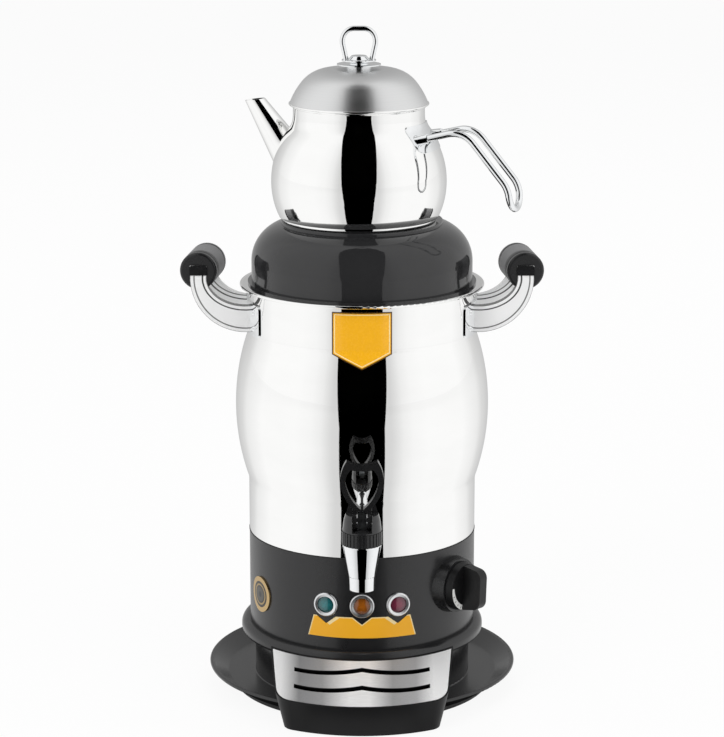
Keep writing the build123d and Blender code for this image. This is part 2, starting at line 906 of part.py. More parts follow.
def make_ring_nut():
    """The grooved nut that holds the bonnet down."""
    body = rod(ring_nut_r, ring_nut_low, ring_nut_high)
    hollow = rod(bonnet_flange_r + fit_gap, ring_nut_low, bonnet_flange_high + fit_gap)
    throat = rod(tap_neck_r - tap_thread_depth + fit_gap, ring_nut_low, ring_nut_high)
    grooves = [place * rod(ring_nut_groove_r, ring_nut_low, ring_nut_high)
               for place in circle_of(ring_nut_groove_count, ring_nut_r)]
    return tap_place * cut_all(body - hollow - throat, grooves)


def make_tap_bonnet():
    """A bell with a slot for the lever, drilled for the stem."""
    throat_r = tap_neck_r - tap_thread_depth
    body = turned(outline([
        (0, neck_rim_z + running_gap),
        (bonnet_flange_r, neck_rim_z + running_gap),
        (bonnet_flange_r, bonnet_flange_high),
        (throat_r, bonnet_flange_high),
        (throat_r, bonnet_foot_z),
        (bonnet_foot_r, bonnet_foot_z),
        (bonnet_foot_r, bonnet_foot_z + 1),
        (bonnet_belly_r, bonnet_foot_z + bonnet_belly_rise, bonnet_belly_round),
        (bonnet_top_r, bonnet_top_z, 1),
        (0, bonnet_top_z),
    ]))
    slot = block(lever_width + 2 * lift_gap, 3 * bonnet_foot_r, cam_face_z, bonnet_top_z)
    bore = rod(tap_stem_r + running_gap, neck_rim_z, bonnet_top_z)
    front = Pos(0, lever_thickness / 2 + lever_cam_gap - 2 * bonnet_foot_r, 0) \
        * block(4 * bonnet_foot_r, 4 * bonnet_foot_r, pin_z + bonnet_front_rise, bonnet_top_z + 1)
    return tap_place * (body - slot - bore - front)


def make_tap_cup():
    cup = rod(tap_cup_r, cup_low, cup_high) - rod(tap_stem_r, cup_high - tap_cup_height / 2, cup_high)
    return tap_place * cup


def make_tap_stem():
    """A rod from the seat cup up to the flat tongue that carries the lever's pin."""
    tongue_low = cam_face_z + lift_gap
    stem = rod(tap_stem_r, cup_high - tap_cup_height / 2, tongue_low)
    tongue = block(tongue_width, tongue_thickness, tongue_low, pin_z + tongue_above_pin)
    hole = Pos(0, 0, pin_z) * Rot(0, 90, 0) * Cylinder(lever_pin_r + running_gap, 2 * tongue_width)
    return tap_place * (stem + tongue - hole)


def make_tap_spring():
    low = cup_high + tap_spring_wire_r + running_gap
    high = neck_rim_z - tap_spring_wire_r - running_gap
    path = Helix((high - low) / tap_spring_turn_count, high - low, tap_spring_r)
    coil = sweep(Plane(path @ 0, z_dir=path % 0) * Circle(tap_spring_wire_r), path)
    return tap_place * Pos(0, 0, low) * coil


def heart(foot_half, half, widest, horn_half, horn, dip, foot):
    """A heart-shaped outline as (x, height), widest part way up, with a dip between two horns."""
    rise = widest - foot
    flank = (foot_half + 0.68 * (half - foot_half), foot + 0.47 * rise)
    right = [
        ThreePointArc((foot_half, foot), flank, (half, widest)),
        ThreePointArc((half, widest), (half - 0.24 * (half - horn_half), widest + 0.55 * (horn - widest)),
                      (horn_half, horn)),
    ]
    left = [edge.mirror(Plane.YZ) for edge in right]
    top = ThreePointArc((horn_half, horn), (0, horn - dip), (-horn_half, horn))
    base = Line((-foot_half, foot), (foot_half, foot))
    return make_face(Curve() + right + left + [top, base])


def make_tap_lever():
    """A heart-shaped pull loop above two cam cheeks that straddle the tongue."""
    outer = heart(loop_foot_half, loop_half, loop_widest, loop_horn_half, loop_horn_height, loop_dip,
                  loop_foot_rise)
    inner = heart(1.0, loop_half - loop_bar, loop_widest, loop_horn_half - loop_bar + 0.5,
                  loop_horn_height - loop_top_bar - 1.5, loop_dip / 3, loop_throat)
    loop = Pos(0, lever_thickness / 2, 0) * extrude(Plane.XZ * outer, lever_thickness)
    window = Pos(0, lever_thickness, 0) * extrude(Plane.XZ * inner, 2 * lever_thickness)
    cam = Pos(0, -lever_cam_offset, 0) * Rot(0, 90, 0) * Cylinder(lever_cam_r, lever_width)
    hub = Rot(0, 90, 0) * Cylinder(lever_cam_r - lever_cam_offset / 2, lever_width)
    web = block(2 * loop_foot_half, lever_thickness, 0, loop_foot_rise)
    slot = Rot(0, 90, 0) * Cylinder(tongue_above_pin + 1.6, lever_slot)
    front_slot = Pos(0, -2 * lever_cam_r, -lever_cam_r) * Box(lever_slot, 4 * lever_cam_r, 2 * lever_cam_r)
    rear_slot = Pos(0, 2 * lever_cam_r, -lever_cam_r) * Box(lever_slot, 4 * lever_cam_r, 2 * lever_cam_r)
    cam_slot = Pos(0, -lever_cam_offset, 0) * Rot(0, 90, 0) * Cylinder(lever_cam_r + 1, lever_slot)
    pin_hole = Rot(0, 90, 0) * Cylinder(lever_pin_r, 2 * lever_width)
    lever = loop + web - window + cam + hub - slot - front_slot - rear_slot - cam_slot - pin_hole
    return tap_place * Pos(0, 0, pin_z) * lever


def make_tap_pin():
    return tap_place * Pos(0, 0, pin_z) * Rot(0, 90, 0) * Cylinder(lever_pin_r, lever_width - 0.4)


# ------------------------------------------------------------------ the side handles
grip_shift = arm_offset * sin(radians(grip_toe_in))
arm_foot_low = tank_rim_height - arm_foot_drop


def arm_solid(end, swell):
    """One curved arm of the right-hand handle; end is -1 for the front one. Swell thickens it all round."""
    centre_x = grip_reach - end * grip_shift + arm_top_width / 2 - arm_sweep_r
    centre_z = arm_foot_low + arm_sweep_r
    outer_r = arm_sweep_r + swell
    inner_x = arm_sweep_r - arm_top_width - swell
    inner_z = arm_sweep_r - arm_foot_width - swell
    foot_x = tank_neck_r / 2
    top_z = grip_height + arm_end_above + swell
    quarter = Pos(centre_x + outer_r / 2, centre_z - outer_r / 2) * Rectangle(outer_r, outer_r)
    bend = (Pos(centre_x, centre_z) * (Circle(outer_r) - Ellipse(inner_x, inner_z))) & quarter
    upright = Pos(centre_x + (inner_x + outer_r) / 2, (centre_z + top_z) / 2) \
        * Rectangle(outer_r - inner_x, top_z - centre_z)
    run = Pos((foot_x + centre_x) / 2, centre_z - (inner_z + outer_r) / 2) \
        * Rectangle(centre_x - foot_x, outer_r - inner_z)
    band = bend + upright + run
    thickness = arm_thickness + 2 * swell
    return Pos(0, end * arm_offset + thickness / 2, 0) * extrude(Plane.XZ * band, thickness)


def arm_channel(end):
    """The shallow channels in an arm's two faces."""
    narrow = arm_solid(end, -arm_channel_edge)
    faces = [Pos(0, step * (arm_thickness - arm_channel_depth), 0) * narrow for step in (-0.5, 0.5)]
    keep = Pos(grip_reach, end * arm_offset, arm_foot_low) \
        * Box(2 * arm_sweep_r, 2 * arm_thickness, 2 * (grip_height - grip_r - arm_foot_low - 4))
    core_thickness = arm_thickness - 2 * arm_channel_depth
    core = Pos(0, end * arm_offset, 0) * Box(4 * grip_reach, core_thickness, 4 * grip_height)
    return [(face - core) & keep for face in faces]


plate_skin_r = tank_neck_r + running_gap + foot_plate_thickness
plate_outside = tank_solid(-running_gap - foot_plate_thickness, tank_low, tank_rim_height)


def both_sides(parts):
    """The right-hand pieces and their mirrored twins."""
    return group(parts + [part.mirror(Plane.YZ) for part in parts])


def make_arm(end):
    """The arm trimmed to the foot plate, with a blind hole for the grip's rod."""
    arm = cut_all(arm_solid(end, 0), arm_channel(end))
    arm = arm - (plate_outside & rod(2 * tank_belly_r, arm_foot_low - 1, tank_rim_height))
    return (arm - grip_place * rod_hole(grip_rod_r + fit_gap)).solid()


grip_place = Pos(grip_reach, 0, grip_height) * Rot(0, 0, grip_toe_in)


def rod_hole(radius):
    return Rot(90, 0, 0) * Cylinder(radius, 2 * arm_offset + arm_thickness / 2)


def make_grip():
    return grip_place * (Rot(90, 0, 0) * Cylinder(grip_r, grip_length) - rod_hole(grip_rod_r + fit_gap))


def make_grip_cap(end):
    """A round end cap, notched for the arm that it hides."""
    disc = Cylinder(grip_r, cap_thickness)
    outer_edge = disc.edges().filter_by(GeomType.CIRCLE).sort_by(Axis.Z)[-1]
    disc = fillet(outer_edge, cap_round)
    middle = grip_length / 2 + grip_groove + cap_thickness / 2
    cap = grip_place * Pos(0, end * middle, 0) * Rot(end * -90, 0, 0) * disc
    hub = grip_place * Pos(0, end * (grip_length + grip_groove) / 2, 0) * Rot(90, 0, 0) \
        * Cylinder(grip_r - 2.5, grip_groove)
    bore = grip_place * rod_hole(grip_rod_r + fit_gap)
    return cap + hub - arm_solid(end, fit_gap) - bore


def make_grip_rod():
    return grip_place * rod_hole(grip_rod_r)


def make_foot_plate():
    """A plate bent to the tank's neck; both arms of a handle are brazed to it."""
    height = foot_plate_high - foot_plate_low
    middle = foot_plate_low + height / 2
    half = plate_skin_r * sin(radians(foot_plate_reach))
    pad = RectangleRounded(2 * half, height, foot_plate_round)
    prism = facing(90, middle) * extrude(pad, 2 * tank_neck_r)
    skin = plate_outside - tank_solid(-running_gap, tank_low, tank_rim_height)
    return cut_all(skin & prism, [place * rod(rivet_r + running_gap, tank_neck_r / 2, grip_reach)
                                  for place in rivet_places()])


def make_rivets():
    inner = tank_neck_r - tank_wall - fit_gap
    inner_head = cone(rivet_r, rivet_head_r, inner - rivet_head_height, inner)
    shank = rod(rivet_r, inner - rivet_head_height, plate_skin_r + 0.2)
    outer_head = cone(rivet_head_r, rivet_r, plate_skin_r, plate_skin_r + rivet_head_height)
    rivet = inner_head + shank + outer_head
    return group([place * rivet for place in rivet_places()])


# ------------------------------------------------------------------ the dome cover
cover_r = tank_neck_r - cover_inset
cover_flange_r = cover_r + cover_flange_overhang
cover_top = tank_rim_height + cover_rise
cover_seat_r = pot_disc_r + cover_seat_overlap
seat_z = cover_top + cover_seat_height


def make_dome_cover():
    """A domed cover whose flange lies on the tank's rim, with a steam hole under the teapot."""
    low = tank_rim_height - cover_skirt
    inner = cover_r - cover_wall
    inner_shoulder = cover_shoulder - cover_wall
    shell = turned(outline([
        (inner, low),
        (cover_r, low),
        (cover_r, cover_top, cover_shoulder),
        (cover_hole_r, cover_top),
        (cover_hole_r, cover_top - cover_wall),
        (inner, cover_top - cover_wall, inner_shoulder),
    ]))
    flange = ring(cover_flange_r, inner, tank_rim_height, tank_rim_height + cover_flange_thickness)
    seat = ring(cover_seat_r, cover_hole_r, cover_top - cover_wall, seat_z)
    seat = fillet(seat.edges().filter_by(GeomType.CIRCLE).sort_by(Axis.Z)[-2:], cover_seat_height / 2)
    return shell + flange + seat


# ------------------------------------------------------------------ the teapot
pot_low = seat_z + pot_disc_thickness
pot_rim_z = pot_low + pot_rim_rise
lid_place = Pos(pot_shift, 0, 0)
pot_place = lid_place * Rot(0, 0, pot_turn)


def pot_solid(inset, low):
    """The pot's full shape shrunk by an inset, from a floor height up to its rim."""
    neck_z = pot_low + pot_neck_rise
    side = Spline(
        (pot_foot_r - inset, pot_low),
        (pot_belly_r - inset, pot_low + pot_belly_rise),
        (pot_shoulder_r - inset, pot_low + pot_shoulder_rise),
        (pot_throat_r - inset, pot_low + pot_throat_rise),
        (pot_neck_r - inset, neck_z),
        tangents=((0.5, 1.0), (0.0, 1.0)),
    )
    rim = (pot_neck_r - inset, pot_rim_z)
    edges = [
        side,
        Line((pot_neck_r - inset, neck_z), rim),
        Line(rim, (0, pot_rim_z)),
        Line((0, pot_rim_z), (0, pot_low)),
        Line((0, pot_low), (pot_foot_r - inset, pot_low)),
    ]
    shape = turned(make_face(Curve() + edges))
    return shape if low == pot_low else shape - rod(2 * pot_belly_r, pot_low - 1, low)


pot_outside = pot_solid(0, pot_low)


def make_pot_disc():
    disc = rod(pot_disc_r, seat_z, pot_low)
    low_edge = disc.edges().filter_by(GeomType.CIRCLE).sort_by(Axis.Z)[0]
    return pot_place * fillet(low_edge, pot_disc_round)


def spout_axis():
    """Where the spout's axis starts, and its direction, in the pot's own frame."""
    start = Vector(-spout_root_reach, 0, pot_low + spout_root_rise)
    end = Vector(-spout_tip_reach, 0, pot_low + spout_tip_rise)
    return start, end


def spout_cone(root_r, tip_r, overrun):
    """The spout's cone along its axis, run on past the tip by an overrun."""
    start, end = spout_axis()
    length = (end - start).length
    slope = (tip_r - root_r) / length
    tip = tip_r + slope * overrun
    place = Plane(origin=start, z_dir=end - start).location
    return place * cone(root_r, tip, 0, length + overrun)


def make_pot_body():
    """The drawn bowl with a beaded rim and a strainer of holes behind the spout."""
    bowl = pot_outside - pot_solid(pot_wall, pot_low + pot_wall)
    bead = turned(Pos(pot_neck_r, pot_rim_z - pot_rim_bead_r) * Circle(pot_rim_bead_r))
    start, end = spout_axis()
    direction = (end - start).normalized()
    place = Plane(origin=start - direction * 20, z_dir=direction).location
    holes = []
    half_rows = (strainer_row_count - 1) / 2
    for row in range(strainer_row_count):
        for column in range(strainer_row_count):
            across = (row - half_rows) * strainer_pitch
            along = (column - half_rows) * strainer_pitch
            if sqrt(across ** 2 + along ** 2) < spout_root_r - 2 * strainer_hole_r:
                holes += [place * Pos(across, along, 0) * rod(strainer_hole_r, 0, spout_root_reach)]
    holes += [place * rod(rivet_r + running_gap, 0, 2 * pot_belly_r) for place in bracket_rivet_places()]
    return pot_place * cut_all(bowl + bead, holes)


def make_pot_spout():
    """A tapered tube with a slanted mouth and a pointed lip."""
    outer = spout_cone(spout_root_r, spout_tip_r, spout_overrun)
    inner = spout_cone(spout_root_r - spout_wall, spout_tip_r - spout_wall, spout_overrun)
    tube = outer - inner - pot_outside
    _, end = spout_axis()
    mouth = block(2 * spout_tip_reach, 2 * spout_tip_reach, 0, 2 * spout_overrun)
    above = Pos(end.X, end.Y, end.Z) * Rot(0, -spout_mouth_slope, 0) * mouth
    return pot_place * (tube - above)


def make_handle_bracket():
    """A plate with rounded corners, bent to the pot's shoulder."""
    low = pot_low + bracket_low_rise
    high = pot_low + bracket_high_rise
    plate_face = outline([
        (-bracket_half, low, 7),
        (bracket_half, low, 7),
        (bracket_half, high, 3),
        (-bracket_half, high, 3),
    ])
    across = Plane(origin=(0, 0, 0), x_dir=(0, 1, 0), z_dir=(1, 0, 0)).location
    prism = across * extrude(plate_face, 2 * pot_belly_r)
    skin = pot_solid(-bracket_thickness - running_gap, pot_low) - pot_solid(-running_gap, pot_low)
    return pot_place * cut_all(skin & prism, [place * rod(rivet_r + running_gap, 0, 2 * pot_belly_r)
                                              for place in bracket_rivet_places()])


def bracket_rivet_places():
    """Rivets between the two rods, pointing outwards from the pot."""
    angle = degrees(asin(bracket_rivet_half / pot_throat_r))
    return [facing(90 + end * angle, pot_low + bracket_rivet_rise) for end in (-1, 1)]


def make_bracket_rivets():
    wall = pot_solid(0, pot_low)
    inner = pot_solid(pot_wall, pot_low)
    rivets = []
    for place in bracket_rivet_places():
        shank = place * rod(rivet_r, 0, 2 * pot_belly_r)
        head = place * rod(rivet_head_r, 0, 2 * pot_belly_r)
        skin = pot_solid(-bracket_thickness - running_gap - rivet_head_height, pot_low) \
            - pot_solid(-bracket_thickness - running_gap, pot_low)
        inside = inner - pot_solid(pot_wall + rivet_head_height, pot_low)
        through = (shank & pot_solid(-bracket_thickness - 2 * running_gap, pot_low)) \
            - pot_solid(pot_wall + running_gap, pot_low)
        rivets += [pot_place * (head & skin + (head & inside) + through)]
    return group(rivets)


def handle_points(side):
    """The corners of one rod of the handle, from its root to its end."""
    return [
        (handle_root_reach, side * handle_root_half, pot_low + handle_root_rise),
        (handle_top_reach, side * handle_half, pot_low + handle_top_rise),
        (handle_knee_reach, side * handle_half, pot_low + handle_knee_rise),
        (handle_end_reach, side * handle_half, pot_low + handle_end_rise),
    ]


def make_handle_wire():
    """One bent wire: two rods joined by a half turn at the lower end."""
    points = handle_points(-1) + handle_points(1)[::-1]
    turn = handle_half - 0.01
    bends = [handle_top_round, handle_knee_round, turn, turn, handle_knee_round, handle_top_round]
    path = FilletPolyline(*points, radius=bends)
    wire = sweep(Plane(path @ 0, z_dir=path % 0) * Circle(handle_wire_r), path)
    return pot_place * (wire - pot_solid(-bracket_thickness - 2 * running_gap, pot_low))


def make_handle_ferrules():
    """Flared collars where the rods meet the bracket."""
    collars = []
    for side in (-1, 1):
        root, top = (Vector(*point) for point in handle_points(side)[:2])
        place = Plane(origin=root, z_dir=top - root).location
        collar = cone(ferrule_r, ferrule_front_r, -6, ferrule_length) \
            - rod(handle_wire_r + running_gap, -6, ferrule_length)
        trimmed = place * collar - pot_solid(-bracket_thickness - 2 * running_gap, pot_low)
        collars += [pot_place * trimmed]
    return group(collars)


# ------------------------------------------------------------------ the teapot's lid
lid_low = pot_rim_z
lid_cap_low = lid_low + lid_lip
lid_top = lid_cap_low + lid_rise


def lid_shape(inset):
    """The lid's dome shrunk by an inset: a round shoulder under a flattened crown."""
    ball_r = lid_ball_r - inset
    crown_z = lid_top - inset
    centre_z = lid_cap_low - sqrt(lid_ball_r ** 2 - lid_r ** 2)
    crown_r = sqrt(ball_r ** 2 - (crown_z - centre_z) ** 2)
    half = Pos(lid_r, (lid_cap_low + crown_z) / 2) * Rectangle(2 * lid_r, crown_z - lid_cap_low)
    face = (Pos(0, centre_z) * Circle(ball_r) & half).face()
    corner = face.vertices().sort_by_distance((crown_r, crown_z, 0))[0]
    return turned(face.fillet_2d(lid_crown_round - inset, [corner]))


def make_lid():
    """A thin domed lid with a flat lip and a skirt that drops into the pot's neck."""
    cap = lid_shape(0) - lid_shape(lid_wall)
    skirt_r = pot_neck_r - pot_rim_bead_r - lid_skirt_gap
    lip = ring(lid_r, skirt_r - lid_wall, lid_low, lid_cap_low)
    skirt = ring(skirt_r, skirt_r - lid_wall, lid_low - lid_skirt_depth, lid_cap_low)
    return lid_place * (cap + lip + skirt - rod(knob_screw_r + running_gap, lid_low, lid_top + 1))


knob_washer_z = lid_top + knob_seat_height
knob_neck_z = knob_washer_z + knob_washer_thickness
knob_flange_z = knob_neck_z + knob_flange_height
knob_crown_z = knob_flange_z + knob_flange_edge


def make_knob_base():
    """A turned ferrule: seat, thin washer, flared flange and crown, with a screw down through the lid."""
    base = turned(outline([
        (0, lid_top),
        (knob_seat_r, lid_top),
        (knob_seat_r, knob_washer_z),
        (knob_washer_r, knob_washer_z),
        (knob_washer_r, knob_neck_z),
        (knob_neck_r, knob_neck_z),
        (knob_neck_r, knob_neck_z + 0.8, 0.6),
        (knob_flange_r, knob_flange_z),
        (knob_flange_r, knob_crown_z),
        (knob_crown_r, knob_crown_z, 0.8),
        (knob_crown_r * 0.7, knob_crown_z + knob_crown_height, 1.5),
        (0, knob_crown_z + knob_crown_height),
    ]))
    screw = rod(knob_screw_r, lid_top - lid_wall - knob_nut_height - 3, lid_top)
    return lid_place * (base + screw)


def make_knob_loop():
    """The finger loop: a horseshoe of wire standing on the flange."""
    low = knob_crown_z - loop_wire_r
    half = [
        (loop_foot_reach, low),
        (loop_side_reach, low + loop_side_height),
        (loop_corner_reach, low + loop_top_height),
    ]
    points = [(-x, 0, z) for x, z in half] + [(x, 0, z) for x, z in half[::-1]]
    bends = [loop_side_bend, loop_corner_bend, loop_corner_bend, loop_side_bend]
    path = FilletPolyline(*points, radius=bends)
    wire = sweep(Plane(path @ 0, z_dir=path % 0) * Circle(loop_wire_r), path)
    return lid_place * (wire - rod(knob_washer_r, lid_top, knob_crown_z))


def make_knob_nut():
    high = lid_top - lid_wall
    low = high - knob_nut_height
    return lid_place * (hexagon(knob_nut_r, low, high) - rod(knob_screw_r + running_gap, low, high))


# ------------------------------------------------------------------ the drip tray
tray_front = collar_r + tray_reach
tray_back_height = neck_top - tray_top_drop
tray_slope = tray_fall / tray_slope_run
tray_bottom_z = tray_table_gap
saucer_clear_z = rim_centre_z + rim_bead_r + tray_rim_clearance
saucer_clear_r = saucer_r + tray_rim_clearance
collar_clear_r = collar_r + tray_collar_gap


def tray_prism(inset, low, high):
    """The tray's drafted outer shape, shrunk by an inset, between two heights."""
    half = tray_half_width - inset
    front = tray_front - inset
    sag = tray_front_arc - sqrt(tray_front_arc ** 2 - half ** 2)
    back = -collar_r / 4
    corner_y = -front + sag
    edges = Curve() + [
        Line((-half, back), (-half, corner_y)),
        ThreePointArc((-half, corner_y), (0, -front), (half, corner_y)),
        Line((half, corner_y), (half, back)),
        Line((half, back), (-half, back)),
    ]
    face = make_face(edges).face()
    for side in (-1, 1):
        corner = face.vertices().sort_by_distance((side * half, corner_y, 0))[0]
        face = face.fillet_2d(tray_corner_round - inset, [corner])
    solid = extrude(face, tray_back_height + 2 * collar_drop, taper=-tray_draft)
    return solid & block(4 * collar_r, 4 * collar_r, low, high)


def under_cone(drop):
    """Everything below the tray's sloping top, which is a cone about the tank, or a skin's drop lower."""
    near_r = collar_r / 2
    far_r = 2 * tray_front
    lowered = tray_back_height - drop / cos(atan(tray_slope))
    return turned(outline([
        (near_r, lowered + tray_slope * (collar_r - near_r)),
        (far_r, lowered + tray_slope * (collar_r - far_r)),
        (far_r, -far_r),
        (near_r, -far_r),
    ]))


def make_drip_tray():
    """A box that wraps the collar behind and hangs over the saucer's rim in front."""
    high = tray_back_height + collar_drop
    floor_low = saucer_clear_z
    floor_high = floor_low + tray_floor_thickness
    body = tray_prism(0, tray_bottom_z, high) & under_cone(0)
    body = body - rod(collar_clear_r, -1, high) - rod(saucer_clear_r, -1, floor_low)
    basin = tray_prism(tray_wall, floor_high, high) - rod(collar_clear_r + tray_wall, -1, high)
    under = tray_prism(tray_wall, tray_bottom_z - 0.5, floor_low)
    seat = tray_prism(grille_lip, floor_high, high) - rod(collar_clear_r + grille_lip, -1, high)
    rebate = seat - under_cone(grille_thickness + lift_gap)
    return body - basin - under - rebate


def slot_halves(peak):
    """One wavy slot in plan: two shallow arcs that meet in a peak, a distance in front of the axis."""
    halves = []
    for side in (-1, 1):
        end_x = side * slot_half_length
        middle_x = 0.45 * end_x
        far = peak + slot_width
        edges = [
            ThreePointArc((0, -peak), (middle_x, -peak - slot_dip), (end_x, slot_end_rise - peak)),
            Line((end_x, slot_end_rise - peak), (end_x, slot_end_rise - far)),
            ThreePointArc((end_x, slot_end_rise - far), (middle_x, -far - slot_dip), (0, -far)),
            Line((0, -far), (0, -peak)),
        ]
        halves += [make_face(Curve() + edges)]
    return halves


def make_drip_grille():
    """The slotted steel plate that drops into the tray's rebate."""
    high = tray_back_height + collar_drop
    inset = grille_lip + lift_gap
    plate = tray_prism(inset, saucer_clear_z, high) - rod(collar_clear_r + inset, -1, high)
    plate = (plate & under_cone(0)) - under_cone(grille_thickness)
    return cut_all(plate, [extrude(half, high) for peak in slot_places for half in slot_halves(peak)])


# ------------------------------------------------------------------ every node
lamp_left, lamp_middle, lamp_right = lamp_places()
nodes = {
    "foot_ring": make_foot_ring(),
    "base_foot": make_base_foot(),
    "bottom_cover": make_bottom_cover(),
    "case_screws": make_case_screws(),
    "base_collar": make_base_collar(),
    "base_housing": make_base_housing(),
    "lamp_bezels": make_lamp_bezels(),
    "lamp_lens_green": make_lamp_lens(lamp_left),
    "lamp_lens_amber": make_lamp_lens(lamp_middle),
    "lamp_lens_red": make_lamp_lens(lamp_right),
    "lamp_bodies": make_lamp_bodies(),
    "indicator_label": make_label(),
    "side_medallion": make_medallion(),
    "thermostat_boss": make_thermostat_boss(),
    "thermostat_body": make_thermostat_body(),
    "thermostat_nut": make_thermostat_nut(),
    "thermostat_shaft": make_thermostat_shaft(),
    "thermostat_knob": make_thermostat_knob(),
    "thermostat_bulb": make_thermostat_bulb(),
    "thermal_cutout": make_thermal_cutout(),
    "power_inlet": make_power_inlet(),
    "inlet_pins": make_inlet_pins(),
    "inlet_screws": make_inlet_screws(),
    "seal_ring": make_seal_ring(),
    "tank_shell": make_tank_shell(),
    "tank_floor": make_tank_floor(),
    "heating_element": make_heating_element(),
    "element_gaskets": make_element_gaskets(),
    "element_nuts": make_element_nuts(),
    "badge_plate": make_badge(),
    "tap_body": make_tap_body(),
    "tap_gaskets": make_tap_gaskets(),
    "tap_nut": make_tap_nut(),
    "tap_ring_nut": make_ring_nut(),
    "tap_bonnet": make_tap_bonnet(),
    "tap_cup": make_tap_cup(),
    "tap_stem": make_tap_stem(),
    "tap_spring": make_tap_spring(),
    "tap_lever": make_tap_lever(),
    "tap_pin": make_tap_pin(),
    "handle_arms": both_sides([make_arm(-1), make_arm(1)]),
    "handle_grips": both_sides([make_grip()]),
    "grip_caps": both_sides([make_grip_cap(-1), make_grip_cap(1)]),
    "grip_rods": both_sides([make_grip_rod()]),
    "foot_plates": both_sides([make_foot_plate()]),
    "handle_rivets": make_rivets(),
    "dome_cover": make_dome_cover(),
    "pot_base_disc": make_pot_disc(),
    "pot_body": make_pot_body(),
    "pot_spout": make_pot_spout(),
    "pot_bracket": make_handle_bracket(),
    "bracket_rivets": make_bracket_rivets(),
    "pot_handle_wire": make_handle_wire(),
    "handle_ferrules": make_handle_ferrules(),
    "pot_lid": make_lid(),
    "lid_knob_base": make_knob_base(),
    "lid_knob_loop": make_knob_loop(),
    "lid_knob_nut": make_knob_nut(),
    "drip_tray": make_drip_tray(),
    "drip_grille": make_drip_grille(),
}
for name, part in nodes.items():
    export_step(part, f"parts/{name}.step")
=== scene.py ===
from math import cos, pi, radians, sin, sqrt

import bpy
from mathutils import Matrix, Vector


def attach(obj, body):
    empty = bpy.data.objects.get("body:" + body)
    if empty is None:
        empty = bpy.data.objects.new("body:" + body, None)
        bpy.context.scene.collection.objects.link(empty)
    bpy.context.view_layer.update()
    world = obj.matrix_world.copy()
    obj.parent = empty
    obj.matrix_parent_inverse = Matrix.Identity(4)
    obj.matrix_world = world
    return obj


# An electric samovar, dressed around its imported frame: metres, +Z up, the tap faces -Y.

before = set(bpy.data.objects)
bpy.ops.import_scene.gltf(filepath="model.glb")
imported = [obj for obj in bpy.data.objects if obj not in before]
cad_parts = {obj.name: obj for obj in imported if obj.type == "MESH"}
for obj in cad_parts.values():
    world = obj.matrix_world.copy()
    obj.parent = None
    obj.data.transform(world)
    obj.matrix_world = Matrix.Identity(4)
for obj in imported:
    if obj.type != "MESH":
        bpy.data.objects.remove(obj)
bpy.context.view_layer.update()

MM = 0.001

# ------------------------------------------------------------------ camera and view
CAMERA_PLACE = (0.0, -2.08, 0.759)
CAMERA_DOWN = 13.5
LENS = 130.6

scene = bpy.context.scene
scene.view_settings.view_transform = "Standard"
camera_data = bpy.data.cameras.new("camera")
camera_data.sensor_fit = "VERTICAL"
camera_data.sensor_height = 36.0
camera_data.lens = LENS
camera = bpy.data.objects.new("camera", camera_data)
camera.location = CAMERA_PLACE
camera.rotation_euler = (radians(90 - CAMERA_DOWN), 0, 0)
scene.collection.objects.link(camera)
scene.camera = camera


# ------------------------------------------------------------------ helpers
def linear(code):
    """An sRGB hex colour as linear light with full alpha."""
    channels = [int(code[start:start + 2], 16) / 255 for start in (1, 3, 5)]
    return [c / 12.92 if c <= 0.04045 else ((c + 0.055) / 1.055) ** 2.4 for c in channels] + [1.0]


def add(tree, kind, settings=None, inputs=None):
    """A node with its settings; inputs are values, or sockets that are linked."""
    node = tree.nodes.new(kind)
    for name, value in (settings or {}).items():
        setattr(node, name, value)
    for name, value in (inputs or {}).items():
        if isinstance(value, bpy.types.NodeSocket):
            tree.links.new(value, node.inputs[name])
        else:
            node.inputs[name].default_value = value
    return node


def start(name, **sockets):
    """A new material: its tree and its shader, with fixed socket values set on the shader."""
    material = bpy.data.materials.new(name)
    material.use_nodes = True
    tree = material.node_tree
    tree.nodes.clear()
    shader = add(tree, "ShaderNodeBsdfPrincipled", inputs={
        key.replace("_", " "): value for key, value in sockets.items()})
    add(tree, "ShaderNodeOutputMaterial", inputs={"Surface": shader.outputs["BSDF"]})
    return material, tree, shader


def spread_stops(ramp, stops):
    """Give a colour ramp its stops: (position, colour) in rising order."""
    elements = ramp.color_ramp.elements
    while len(elements) < len(stops):
        elements.new(0.5)
    for element, (where, colour) in zip(elements, stops):
        element.position = where
        element.color = colour


def place_of(tree):
    """Where a point of the surface is, in metres, in the frame of the whole object."""
    return add(tree, "ShaderNodeTexCoord").outputs["Object"]


def grain(tree, grain_mm, detail=3.0, stretch=(1, 1, 1)):
    """A noise whose grains are about this many millimetres across, longer along a stretched axis."""
    scaled = add(tree, "ShaderNodeMapping", inputs={"Vector": place_of(tree), "Scale": [1 / s for s in stretch]})
    noise = add(tree, "ShaderNodeTexNoise", inputs={
        "Vector": scaled.outputs["Vector"], "Scale": 1 / (grain_mm * MM), "Detail": detail})
    return noise.outputs["Fac"]


